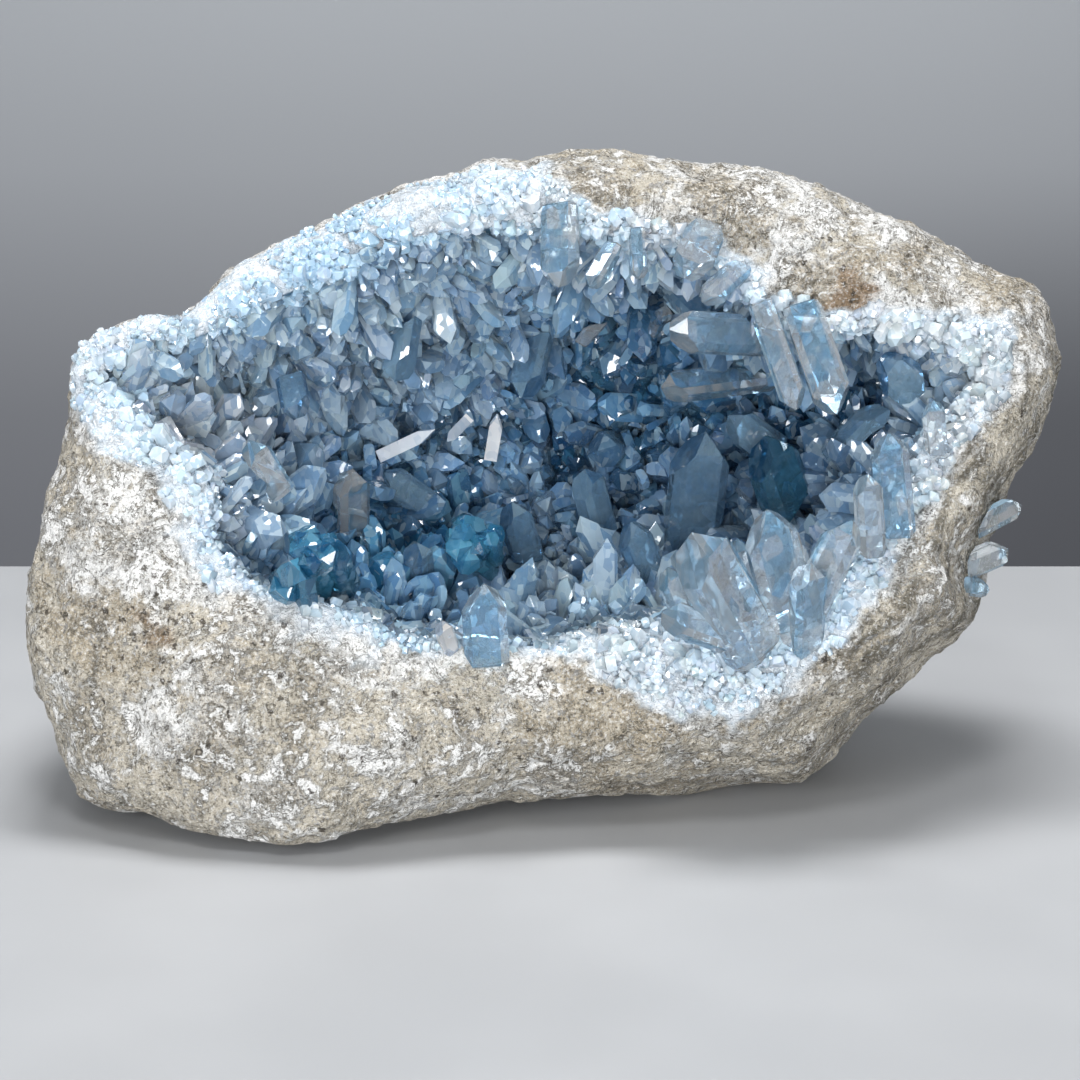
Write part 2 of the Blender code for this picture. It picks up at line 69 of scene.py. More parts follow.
def cyclic_curve(angles: np.ndarray, values: np.ndarray, at: np.ndarray) -> np.ndarray:
    """Smooth closed curve through (angle, value) pairs: a cubic between each two of them.

    Its slope at a pair is that of the straight line through the pairs on both sides.

    Args:
        angles: Angles in radians, in any order.
        values: The curve's value at each angle.
        at: Angles to work it out at.

    Returns:
        The curve's values.
    """
    order = np.argsort(angles)
    a = np.asarray(angles, float)[order]
    v = np.asarray(values, float)[order]
    a = np.concatenate([a[-2:] - TURN, a, a[:2] + TURN])
    v = np.concatenate([v[-2:], v, v[:2]])
    slope = np.empty_like(v)
    slope[1:-1] = (v[2:] - v[:-2]) / (a[2:] - a[:-2])
    slope[0], slope[-1] = slope[1], slope[-2]
    at = np.mod(at, TURN)
    i = np.clip(np.searchsorted(a, at) - 1, 1, len(a) - 3)
    step = a[i + 1] - a[i]
    t = (at - a[i]) / step
    return (
        v[i] * (1 + 2 * t) * (1 - t) ** 2
        + slope[i] * step * t * (1 - t) ** 2
        + v[i + 1] * t * t * (3 - 2 * t)
        - slope[i + 1] * step * t * t * (1 - t)
    )


def by_clock(pairs: Pairs, at: np.ndarray) -> np.ndarray:
    """A quantity given by clock angle in degrees, at each angle in radians."""
    degrees, values = np.array(pairs, float).T
    return cyclic_curve(np.radians(degrees), values, at)


def outline_radius(points: Pairs, at: np.ndarray) -> np.ndarray:
    """Distance from the mouth's middle to an outline, at each angle."""
    x, z = np.array(points, float).T
    return cyclic_curve(np.mod(np.arctan2(z, x), TURN), np.hypot(x, z), at)


def smooth(low: float, high: float, value: np.ndarray) -> np.ndarray:
    """Rises from 0 at low to 1 at high, level at both ends: 3t² - 2t³."""
    t = np.clip((value - low) / (high - low), 0, 1)
    return t * t * (3 - 2 * t)


def spot(x: np.ndarray, z: np.ndarray, at: Point, radius: float) -> np.ndarray:
    """A round soft patch: exp(-(distance / radius)²)."""
    return np.exp(-((x - at[0]) ** 2 + (z - at[1]) ** 2) / radius**2)


def spots(x: np.ndarray, z: np.ndarray, places: Spots) -> np.ndarray:
    """Soft patches added up, each given by its middle, its radius and its strength."""
    return sum(strength * spot(x, z, at, radius) for at, radius, strength in places)


def toward(base: np.ndarray, colour: Colour, amount: np.ndarray) -> np.ndarray:
    """Colours moved towards another by a share for each, kept between 0 and 1."""
    return base + (np.array(colour) - base) * np.clip(amount, 0, 1)[..., None]


def unit(vectors: np.ndarray) -> np.ndarray:
    """Vectors brought to length one."""
    return vectors / np.maximum(np.linalg.norm(vectors, axis=-1, keepdims=True), 1e-12)


def grid_normals(points: np.ndarray) -> np.ndarray:
    """Unit normals of a grid that closes round its second axis: the cross product of its two slopes.

    Args:
        points: The grid's points, by row and column.

    Returns:
        The normal at each point.
    """
    along = np.gradient(points, axis=0)
    around = np.roll(points, -1, axis=1) - np.roll(points, 1, axis=1)
    return unit(np.cross(around, along))


@dataclass(frozen=True)
class Noise:
    """Random fields in space that are the same on every run; points are in millimetres.

    The large whole numbers only have to be odd and unlike each other. The offset keeps the cells'
    numbers above zero, and the shift keeps the layers' cells apart.
    """

    seed: int
    axis_steps: tuple[int, int, int] = (73856093, 19349663, 83492791)
    seed_step: int = 2654435761
    channel_step: int = 40503
    first_mixer: int = 2246822519
    second_mixer: int = 3266489917
    all_bits: int = 0xFFFFFFFF
    low_bits: int = 0xFFFFFF
    own_channel: int = 7
    offset: float = 1000.0
    layer_shift: float = 37.0

    def _at(self, cell: np.ndarray, channel: int = 0) -> np.ndarray:
        """One number from 0 to 1 for each whole-numbered cell: its coordinates multiplied and mixed.

        Args:
            cell: The cells' whole numbers.
            channel: Which of a cell's several numbers to give.

        Returns:
            The cells' own numbers.
        """
        c = cell.astype(np.int64)
        x_step, y_step, z_step = self.axis_steps
        mixed = c[..., 0] * x_step ^ c[..., 1] * y_step ^ c[..., 2] * z_step
        mixed = (mixed + self.seed * self.seed_step + channel * self.channel_step) & self.all_bits
        mixed = ((mixed ^ (mixed >> 15)) * self.first_mixer) & self.all_bits
        mixed = ((mixed ^ (mixed >> 13)) * self.second_mixer) & self.all_bits
        return ((mixed ^ (mixed >> 16)) & self.low_bits) / float(self.low_bits + 1)

    def value(self, points: np.ndarray, size: float) -> np.ndarray:
        """Lattice noise from -1 to 1: random corners of a cube, blended by 3t² - 2t³ along each axis.

        Args:
            points: Places to work it out at.
            size: Side of the cubes.

        Returns:
            The noise at each place.
        """
        scaled = points / size + self.offset
        cell = np.floor(scaled)
        t = scaled - cell
        t = t * t * (3 - 2 * t)
        total = np.zeros(points.shape[:-1])
        for corner in np.ndindex(2, 2, 2):
            offset = np.array(corner)
            weight = np.prod(np.where(offset == 1, t, 1 - t), axis=-1)
            total += weight * self._at(cell + offset)
        return total * 2 - 1

    def layers(self, points: np.ndarray, size: float, count: int, gain: float) -> np.ndarray:
        """Sum of lattice noises, each half the size of the one before and gain times as high.

        Args:
            points: Places to work it out at.
            size: Side of the first noise's cubes.
            count: How many noises.
            gain: Height of each as a share of the one before.

        Returns:
            The sum at each place.
        """
        total = np.zeros(points.shape[:-1])
        for layer in range(count):
            shifted = points + self.layer_shift * layer
            total += gain**layer * self.value(shifted, size / 2**layer)
        return total

    def cells(self, points: np.ndarray, size: float) -> tuple[np.ndarray, np.ndarray, np.ndarray]:
        """Scattered points, one to a cube: the nearest one's distance, number and direction.

        Args:
            points: Places to work it out at.
            size: Side of the cubes.

        Returns:
            The distance as a share of the cube's side, a number from 0 to 1, and the way from the
            nearest point, in shares of the side.
        """
        scaled = points / size + self.offset
        cell = np.floor(scaled)
        nearest = np.full(points.shape[:-1], np.inf)
        own = np.zeros(points.shape[:-1])
        away = np.zeros(points.shape)
        for corner in np.ndindex(3, 3, 3):
            there = cell + (np.array(corner) - 1)
            place = there + np.stack([self._at(there, k + 1) for k in range(3)], axis=-1)
            distance = np.linalg.norm(scaled - place, axis=-1)
            closer = distance < nearest
            nearest = np.where(closer, distance, nearest)
            own = np.where(closer, self._at(there, self.own_channel), own)
            away = np.where(closer[..., None], scaled - place, away)
        return nearest, own, away


# The stone's shape


@dataclass(frozen=True)
class Sight:
    """The sight line that the stone's outlines belong to; lengths in millimetres."""

    stand_off: float = 733.0
    dip: float = math.radians(12.0)
    mouth_height: float = 86.75
    mouth_shift: Point = (4.6, -18.0)
    centre_shift: Place = (-1.905, -2.535, 0.0)

    def eye(self) -> list[float]:
        """Where the viewer's eye is.

        Returns:
            Its place in the part's frame, in metres.
        """
        zero = np.float64(0.0)
        place = self.to_part(zero, zero, zero - self.stand_off) + self.centre_shift
        return [float(c) * MM for c in place]

    def to_part(self, x: np.ndarray, z: np.ndarray, depth: np.ndarray) -> np.ndarray:
        """Points in the part's frame for apparent places and depths, spread in proportion to depth.

        Args:
            x: Apparent places to the right of the mouth's middle.
            z: Apparent places above it.
            depth: Depths behind it, along the sight line.

        Returns:
            The points.
        """
        spread = 1 + depth / self.stand_off
        up = z * spread
        return np.stack(
            [
                x * spread + self.mouth_shift[0],
                depth * math.cos(self.dip) + up * math.sin(self.dip) + self.mouth_shift[1],
                self.mouth_height + up * math.cos(self.dip) - depth * math.sin(self.dip),
            ],
            axis=-1,
        )


@dataclass(frozen=True)
class Nodule:
    """The stone's shape, as a profile that runs from its back round its rim and into its hollow.

    Lengths are in millimetres. Clock angles run from +x towards +z. Along the profile, s is 0 at
    the back, 1 at the widest line, 2 at the rim's crest, 3 at the mouth and 4 at the floor.
    """

    sight: Sight = field(default_factory=Sight)
    silhouette: Pairs = (
        (-118, 22), (-113, 28), (-103, 32), (-93, 32), (-87, 36), (-81, 43), (-63, 54), (-44, 63),
        (-25, 68), (-18, 71), (-8, 70), (10, 73), (20, 73), (37, 70), (49, 69), (71, 61),
        (93, 52), (111, 41), (117, 37), (119, 32), (121, 23), (120, 14), (116, 1), (110, -8),
        (104, -24), (102, -37), (99, -43), (88, -53), (73, -66), (59, -80), (46, -81), (31, -84),
        (16, -85), (-5, -85), (-15, -85), (-27, -89), (-40, -92), (-52, -95), (-67, -98),
        (-82, -96), (-99, -90), (-115, -86), (-119, -82), (-123, -70), (-126, -62), (-129, -52),
        (-130, -40), (-128, -29), (-126, -22), (-122, -2), (-120, 10),
    )
    mouth: Pairs = (
        (-110, 16), (-109, 22), (-100, 24), (-88, 27), (-71, 37), (-54, 44), (-34, 53), (-15, 57),
        (2, 56), (20, 53), (34, 50), (45, 42), (56, 33), (71, 32), (84, 31), (95, 27), (102, 21),
        (99, 13), (90, 4), (81, -12), (74, -26), (65, -38), (54, -45), (39, -46), (24, -44),
        (10, -46), (-4, -49), (-20, -48), (-32, -48), (-41, -46), (-50, -40), (-64, -35),
        (-73, -34), (-79, -27), (-83, -18), (-82, -10), (-91, -1), (-103, 8),
    )
    widest_depth: Pairs = (
        (0, 22), (20, 20), (50, 30), (90, 32), (130, 26), (165, 8), (180, -2), (200, -8),
        (217, -6), (222, -12), (229, -20), (236, -25), (241, -18), (246, -12), (253, -6),
        (266, 0), (281, 8), (290, 12), (300, 19), (306, 21), (318, 24), (335, 26),
    )
    back_fullness: Pairs = (
        (0, 0.8), (60, 0.8), (120, 0.8), (180, 0.75), (235, 0.62), (270, 0.55), (310, 0.62),
    )
    hollow_taper: Pairs = (
        (0, 1.0), (40, 0.95), (80, 1.15), (120, 1.5), (165, 1.45), (190, 1.0), (240, 0.85),
        (300, 0.9),
    )
    frost_start: Pairs = (
        (0, 2.35), (7, 2.15), (14, 1.9), (22, 2.1), (31, 2.7), (45, 2.64), (60, 2.6), (72, 2.55),
        (80, 2.5), (88, 1.75), (96, 1.3), (120, 1.05), (150, 1.08), (165, 1.2), (174, 1.4),
        (180, 1.9), (184, 2.45), (190, 2.7), (202, 2.87), (215, 2.93), (255, 2.93), (270, 2.88),
        (280, 2.6), (290, 2.22), (300, 2.0), (310, 2.1), (320, 2.2), (330, 2.45), (345, 2.5),
    )
    bulges: tuple[tuple[Point, float, float], ...] = (
        ((-60, -62), 40.0, 13.0), ((-88, -10), 26.0, 7.0), ((75, -48), 30.0, 4.0),
    )
    waves: Pairs = ((110, 0.9), (70, 0.8), (45, 0.6), (30, 0.45))
    waves_each: int = 3
    wave_seed: int = 7
    wave_floor: float = 0.3
    wave_rise: float = 1.2
    feet: Pairs = ((-62, -28), (42, -6), (-46, 28), (28, 30))
    foot_radius: float = 26.0
    foot_share: float = 1.3
    arch: float = 3.5
    outline_steps: int = 2001
    back_depth: float = 92.0
    hollow_depth: float = 60.0
    face_lean: tuple[float, float] = (-8.0, 0.30)
    crest_place: float = 0.5
    mouth_step: float = 4.0
    back_power: float = 0.9
    rim_power: float = 1.6

    def angles(self, count: int) -> np.ndarray:
        """Angles that cut the silhouette into equal lengths.

        Args:
            count: How many.

        Returns:
            The angles, in radians.
        """
        fine = np.linspace(0, TURN, self.outline_steps)
        r = outline_radius(self.silhouette, fine)
        step = np.hypot(np.diff(r * np.cos(fine)), np.diff(r * np.sin(fine)))
        length = np.concatenate([[0], np.cumsum(step)])
        return np.interp(np.arange(count) / count * length[-1], length, fine)

    def face_depth(self, x: np.ndarray, z: np.ndarray) -> np.ndarray:
        """Depth of the broken face: a plane leaning back, less the bulges that stand proud of it.

        Args:
            x: Apparent places to the right of the mouth's middle.
            z: Apparent places above it.

        Returns:
            The depth at each place.
        """
        depth = self.face_lean[0] + self.face_lean[1] * z
        for at, radius, height in self.bulges:
            depth = depth - height * spot(x, z, at, radius)
        return depth

    def frost_edge(self, angle: np.ndarray) -> np.ndarray:
        """Where the first white crystals begin along the profile, at each angle."""
        return by_clock(self.frost_start, angle)

    def profile(self, angle: np.ndarray, s: np.ndarray) -> tuple[np.ndarray, np.ndarray]:
        """Apparent radius and depth: quarters of superellipses, with a slow curve for the rim's face.

        Args:
            angle: Clock angles in radians.
            s: Places along the profile, from 0 to 4.

        Returns:
            The apparent radius and the depth at each place.
        """
        wide = outline_radius(self.silhouette, angle)
        mouth = outline_radius(self.mouth, angle)
        wide_depth = by_clock(self.widest_depth, angle)
        crest = mouth + self.crest_place * (wide - mouth)
        crest_depth = self.face_depth(crest * np.cos(angle), crest * np.sin(angle))
        mouth_depth = self.face_depth(mouth * np.cos(angle), mouth * np.sin(angle)) + self.mouth_step
        fullness, taper = by_clock(self.back_fullness, angle), by_clock(self.hollow_taper, angle)
        quarter = math.pi / 2
        back = np.clip(s, 0, 1) * quarter
        front = np.clip(s - 1, 0, 1) * quarter
        rim = np.clip(s - 2, 0, 1)
        hollow = np.clip(s - 3, 0, 1) * quarter
        radius = np.select(
            [s <= 1, s <= 2, s <= 3],
            [
                wide * np.sin(back) ** fullness,
                crest + (wide - crest) * np.cos(front),
                crest + (mouth - crest) * rim,
            ],
            mouth * np.abs(np.cos(hollow)) ** taper,
        )
        depth = np.select(
            [s <= 1, s <= 2, s <= 3],
            [
                wide_depth + (self.back_depth - wide_depth) * np.abs(np.cos(back)) ** self.back_power,
                wide_depth + (crest_depth - wide_depth) * np.sin(front),
                crest_depth + (mouth_depth - crest_depth) * rim**self.rim_power,
            ],
            mouth_depth + (self.hollow_depth - mouth_depth) * np.sin(hollow) ** taper,
        )
        return radius, depth

    def surface(self, angle: np.ndarray, s: np.ndarray) -> np.ndarray:
        """Points of the stone's surface in the part's frame: the profile, drifted by slow waves.

        Args:
            angle: Clock angles in radians.
            s: Places along the profile, from 0 to 4.

        Returns:
            The points.
        """
        radius, depth = self.profile(angle, s)
        points = self.sight.to_part(radius * np.cos(angle), radius * np.sin(angle), depth)
        rng = np.random.default_rng(self.wave_seed)
        drift = np.zeros_like(points)
        for wave_length, height in self.waves:
            for _ in range(self.waves_each):
                direction = rng.normal(size=3)
                direction *= TURN / (wave_length * np.linalg.norm(direction))
                push = rng.normal(size=3)
                push *= height / np.linalg.norm(push)
                drift += push * np.sin(points @ direction + rng.uniform(0, TURN))[..., None]
        amount = np.clip(self.wave_floor + np.abs(s - 1) * self.wave_rise, 0, 1)
        points = points + drift * amount[..., None]
        return self.on_feet(points) + self.sight.centre_shift

    def on_feet(self, points: np.ndarray) -> np.ndarray:
        """The underside cut off at the ground, and hollowed a little between the feet.

        A foot's nearness is exp(-(distance / radius)³), and the arch fades where it is high.

        Args:
            points: Points of the surface.

        Returns:
            The points, none of them under the ground.
        """
        x, y = points[..., 0], points[..., 1]
        reach = self.foot_radius**2
        near = np.max(
            [np.exp(-(((x - fx) ** 2 + (y - fy) ** 2) / reach) ** 1.5) for fx, fy in self.feet],
            axis=0,
        )
        ground = self.arch * np.clip(1 - self.foot_share * near, 0, 1)
        stood = points.copy()
        stood[..., 2] = np.maximum(points[..., 2], ground)
        return stood


# Materials


@dataclass(frozen=True)
class Socket:
    """One value of a material, with arithmetic: each operator adds a Math node."""

    graph: "Graph"
    out: Any

    def _math(self, operation: str, *values: Any) -> "Socket":
        """A Math node over some values."""
        inputs = {index: value for index, value in enumerate(values)}
        return self.graph.node("ShaderNodeMath", {"operation": operation}, inputs)

    def __add__(self, other: Any) -> "Socket":
        """Sum."""
        return self._math("ADD", self, other)

    __radd__ = __add__

    def __mul__(self, other: Any) -> "Socket":
        """Product."""
        return self._math("MULTIPLY", self, other)

    __rmul__ = __mul__

    def __sub__(self, other: Any) -> "Socket":
        """Difference."""
        return self._math("SUBTRACT", self, other)

    def __rsub__(self, other: Any) -> "Socket":
        """Difference, taken from the other."""
        return self._math("SUBTRACT", other, self)

    def also(self, name: str) -> "Socket":
        """Another output of the same node."""
        return Socket(self.graph, self.out.node.outputs[name])

    def rise(self, low: float, high: float, bottom: float = 0.0, top: float = 1.0) -> "Socket":
        """Goes smoothly from bottom to top as this value goes from low to high.

        Args:
            low: Value where the rise starts; above high, the rise runs downwards.
            high: Value where it ends.
            bottom: Result at low.
            top: Result at high.

        Returns:
            The result.
        """
        return self.graph.node(
            "ShaderNodeMapRange",
            {"interpolation_type": "SMOOTHSTEP", "clamp": True},
            {0: self, 1: low, 2: high, 3: bottom, 4: top},
        )


class Graph:
    """A material's nodes, and the few ways in which they are put together."""

    middle: Colour = (0.5, 0.5, 0.5)
    upright: Place = (1.0, 1.0, 0.6)

    def __init__(self, name: str) -> None:
        """Starts a material with nothing but its output.

        Args:
            name: The material's name.
        """
        self.material = bpy.data.materials.new(name)
        self.material.use_nodes = True
        self.tree = self.material.node_tree
        self.tree.nodes.clear()
        self.output = self.tree.nodes.new("ShaderNodeOutputMaterial")

    def node(
        self, kind: str, settings: dict[str, Any], inputs: dict[Any, Any], output: Any = 0
    ) -> Socket:
        """Adds a node.

        Args:
            kind: The node's type.
            settings: Its own settings, such as an operation.
            inputs: Values or sockets for its inputs, by name or number.
            output: Which of its outputs to give back.

        Returns:
            That output.
        """
        made = self.tree.nodes.new(kind)
        for key, value in settings.items():
            setattr(made, key, value)
        for key, value in inputs.items():
            if isinstance(value, Socket):
                self.tree.links.new(value.out, made.inputs[key])
            else:
                made.inputs[key].default_value = value
        return Socket(self, made.outputs[output])

    def place(self) -> Socket:
        """The point's place on the object, in metres."""
        return self.node("ShaderNodeTexCoord", {}, {}, "Object")

    def attribute(self, name: str, output: str = "Fac") -> Socket:
        """A value stored on the mesh."""
        return self.node("ShaderNodeAttribute", {"attribute_name": name}, {}, output)

    def noise(
        self, size_mm: float, detail: float = 4.0, roughness: float = 0.6, warp: float = 0.0
    ) -> Socket:
        """Cloudy noise from 0 to 1.

        Args:
            size_mm: How far across its lumps are.
            detail: How many finer noises are added to it.
            roughness: How high each of those is as a share of the one before.
            warp: How far the noise is pulled about by itself.

        Returns:
            The noise.
        """
        inputs = {
            "Vector": self.place(), "Scale": 1 / (size_mm * MM), "Detail": detail,
            "Roughness": roughness, "Distortion": warp,
        }
        return self.node("ShaderNodeTexNoise", {"noise_dimensions": "3D"}, inputs, "Fac")

    def scatter(self, size_mm: float, shake_mm: float) -> tuple[Socket, Socket]:
        """Points scattered about size_mm apart, read at places shaken by noise.

        Args:
            size_mm: Distance between the points.
            shake_mm: How far places are moved, which makes round spots ragged.

        Returns:
            The distance to the nearest point in shares of size_mm, and that point's own number.
        """
        inputs = {"Vector": self.place(), "Scale": 2 / (size_mm * MM), "Detail": 1.5}
        push = self.node("ShaderNodeTexNoise", {}, inputs, "Color")
        centred = self.vector("SUBTRACT", push, self.middle)
        way = self.vector("SCALE", centred, 2 * shake_mm * MM, "Scale")
        points = {"Vector": self.vector("ADD", self.place(), way), "Scale": 1 / (size_mm * MM)}
        near = self.node("ShaderNodeTexVoronoi", {"feature": "F1"}, points, "Distance")
        return near, self.node("ShaderNodeSeparateColor", {}, {0: near.also("Color")}, 0)

    def vector(self, operation: str, first: Any, second: Any, socket: Any = 1) -> Socket:
        """A Vector Math node over two values."""
        return self.node("ShaderNodeVectorMath", {"operation": operation}, {0: first, socket: second})

    def shards(self, size_mm: float) -> Socket:
        """A random colour for each of the flat-sided cells that fill space, taller than they are wide.

        Args:
            size_mm: How wide the cells are.

        Returns:
            The colour.
        """
        place = self.vector("MULTIPLY", self.place(), self.upright)
        points = {"Vector": place, "Scale": 1 / (size_mm * MM)}
        return self.node("ShaderNodeTexVoronoi", {"feature": "F1"}, points, "Color")

    def tilted(self, push: Socket, amount: float) -> Socket:
        """The surface's normal, tilted at random by a colour.

        Args:
            push: The colour; a middle grey doesn't tilt.
            amount: Greatest push along each axis, as a share of the normal's length.

        Returns:
            The tilted normal.
        """
        centred = self.vector("SUBTRACT", push, self.middle)
        way = self.vector("SCALE", centred, 2 * amount, "Scale")
        normal = self.node("ShaderNodeNewGeometry", {}, {}, "Normal")
        return self.vector("NORMALIZE", self.vector("ADD", normal, way), (0.0, 0.0, 0.0))

    def blend(self, factor: Any, low: Any, high: Any, mode: str = "MIX") -> Socket:
        """Mixes two colours, given as sockets or as numbers.

        Args:
            factor: Share of the second.
            low: The first colour.
            high: The second colour.
            mode: How the second goes over the first.

        Returns:
            The mixture.
        """
        low = (*low, 1.0) if isinstance(low, tuple) else low
        high = (*high, 1.0) if isinstance(high, tuple) else high
        return self.node(
            "ShaderNodeMix",
            {"data_type": "RGBA", "blend_type": mode, "clamp_factor": True, "clamp_result": True},
            {0: factor, 6: low, 7: high},
            2,
        )

    def bump(self, height: Socket, distance_mm: float, strength: float) -> Socket:
        """A normal tilted by a height map."""
        inputs = {"Height": height, "Distance": distance_mm * MM, "Strength": strength}
        return self.node("ShaderNodeBump", {}, inputs, "Normal")

    def surface(self, **inputs: Any) -> Socket:
        """A Principled shader, joined to the material's output.

        Args:
            inputs: Values or sockets by the shader's own names, with underscores for spaces.

        Returns:
            The shader.
        """
        named = {key.replace("_", " "): value for key, value in inputs.items()}
        shader = self.node("ShaderNodeBsdfPrincipled", {}, named)
        self.tree.links.new(shader.out, self.output.inputs["Surface"])
        return shader

    def absorb(self, colour: Colour, density: float) -> None:
        """Fills the material's inside with plain absorption.

        Args:
            colour: Colour of the light that passes best.
            density: How strongly the rest is taken up, per metre.
        """
        inputs = {"Color": (*colour, 1.0), "Density": density}
        volume = self.node("ShaderNodeVolumeAbsorption", {}, inputs)
        self.tree.links.new(volume.out, self.output.inputs["Volume"])


class Finish:
    """A material that is made the first time it is asked for."""

    name: str

    def __init__(self) -> None:
        """Nothing is made yet."""
        self._made: bpy.types.Material | None = None

    def build(self, graph: Graph) -> None:
        """Lays out the material's nodes."""
        raise NotImplementedError

    def material(self) -> bpy.types.Material:
        """The material, made once.

        Returns:
            The material.
        """
        if self._made is None:
            graph = Graph(self.name)
            self.build(graph)
            self._made = graph.material
        return self._made


class LimestoneFinish(Finish):
    """Weathered limestone: cream with white, tan and grey patches, dark specks, pits and beds."""

    name = "limestone_skin"
    patch_mm: float = 17.0
    rift_mm: float = 11.0
    mottle_mm: float = 5.0
    pit_mm: float = 2.4
    blotch_mm: float = 2.2
    grain_mm: float = 0.8
    relief_mm: float = 2.7
    cream: Colour = (0.515, 0.475, 0.40)
    chalk: Colour = (0.80, 0.80, 0.79)
    tan: Colour = (0.385, 0.33, 0.245)
    clay: Colour = (0.215, 0.19, 0.145)
    ash: Colour = (0.27, 0.285, 0.305)
    rust: Colour = (0.25, 0.16, 0.085)
    bark: Colour = (0.12, 0.11, 0.085)
    pit_dark: Colour = (0.06, 0.05, 0.04)
    sugar: Colour = (0.82, 0.87, 0.92)
    sugar_shade: Colour = (0.50, 0.61, 0.71)
    deep_blue_and_shade: Colour = (0.10, 0.22, 0.34)

    def build(self, graph: Graph) -> None:
        """Patches, beds, cracks, pits and specks over each other, then the zones near the mouth.

        A crack runs where a noise crosses its middle, so its depth falls with the square of the
        noise's distance from there. The relief is the same noises, less the cracks.

        Args:
            graph: The material's nodes.
        """
        patch = graph.noise(self.patch_mm, 3, 0.6, 0.6)
        mottle = graph.noise(self.mottle_mm, 5, 0.72, 0.4)
        blotch = graph.noise(self.blotch_mm, 3, 0.75, 0.5)
        grain = graph.noise(self.grain_mm, 2, 0.7)
        seam = mottle - 0.5
        cracks = (seam * seam).rise(0.0012, 0.0) * patch.rise(0.42, 0.60)
        rift = graph.noise(self.rift_mm, 5, 0.68, 1.0) - 0.5
        rifts = (rift * rift).rise(0.00016, 0.0) * mottle.rise(0.44, 0.54)
        near, own = graph.scatter(self.pit_mm, self.pit_mm / 2)
        pits = near.rise(0.40, 0.27) * (graph.attribute("pit") - own).rise(0.0, 0.05)
        white = graph.attribute("chalk")
        tan = graph.attribute("tan")
        beds = graph.attribute("bed")
        crust = patch * 0.45 + mottle * 0.55 + white * 0.17
        skin = graph.blend(crust.rise(0.50, 0.58), self.cream, self.chalk)
        skin = graph.blend(tan * blotch.rise(0.36, 0.50) * 0.8, skin, self.tan)
        skin = graph.blend((patch - mottle).rise(0.04, 0.16) * 0.45, skin, self.tan)
        skin = graph.blend(blotch.rise(0.55, 0.64) * 0.6, skin, self.clay)
        skin = graph.blend(beds * blotch.rise(0.26, 0.48) * 0.95, skin, self.bark)
        skin = graph.blend((blotch - mottle).rise(0.10, 0.20) * 0.55, skin, self.ash)
        skin = graph.blend(cracks * 0.8, skin, self.clay)
        skin = graph.blend(rifts * 0.75, skin, self.bark)
        skin = graph.blend(graph.attribute("stain"), skin, self.rust)
        # The pits are painted dark; the relief has no hollows for them.
        skin = graph.blend(pits * blotch.rise(0.3, 0.5) * 0.9, skin, self.pit_dark)
        skin = graph.blend(grain.rise(0.52, 0.70) * 0.6, skin, self.chalk)
        skin = graph.blend(grain.rise(0.47, 0.28) * 0.85, skin, self.bark)
        # Painted shade: the blue-grey patches in the rim's sugar stand for shade between its grains.
        frost = graph.blend(blotch.rise(0.40, 0.62) * 0.6, self.sugar, self.sugar_shade)
        colour = graph.blend(graph.attribute("sugar"), skin, frost)
        # The bare wall in the hollow: partly its own deep blue crust, partly painted shade in the gaps
        # between the crystals.
        colour = graph.blend(graph.attribute("hollow"), colour, self.deep_blue_and_shade)
        height = mottle * 0.8 + blotch * 0.7 + grain * 0.25 + crust.rise(0.50, 0.56) * 0.12
        height = height - cracks * 0.2 - rifts * 0.15
        graph.surface(
            Base_Color=colour,
            Roughness=grain.rise(0.2, 0.8, 0.95, 0.7),
            Specular_IOR_Level=0.3,
            Normal=graph.bump(height, self.relief_mm, 1.0),
        )


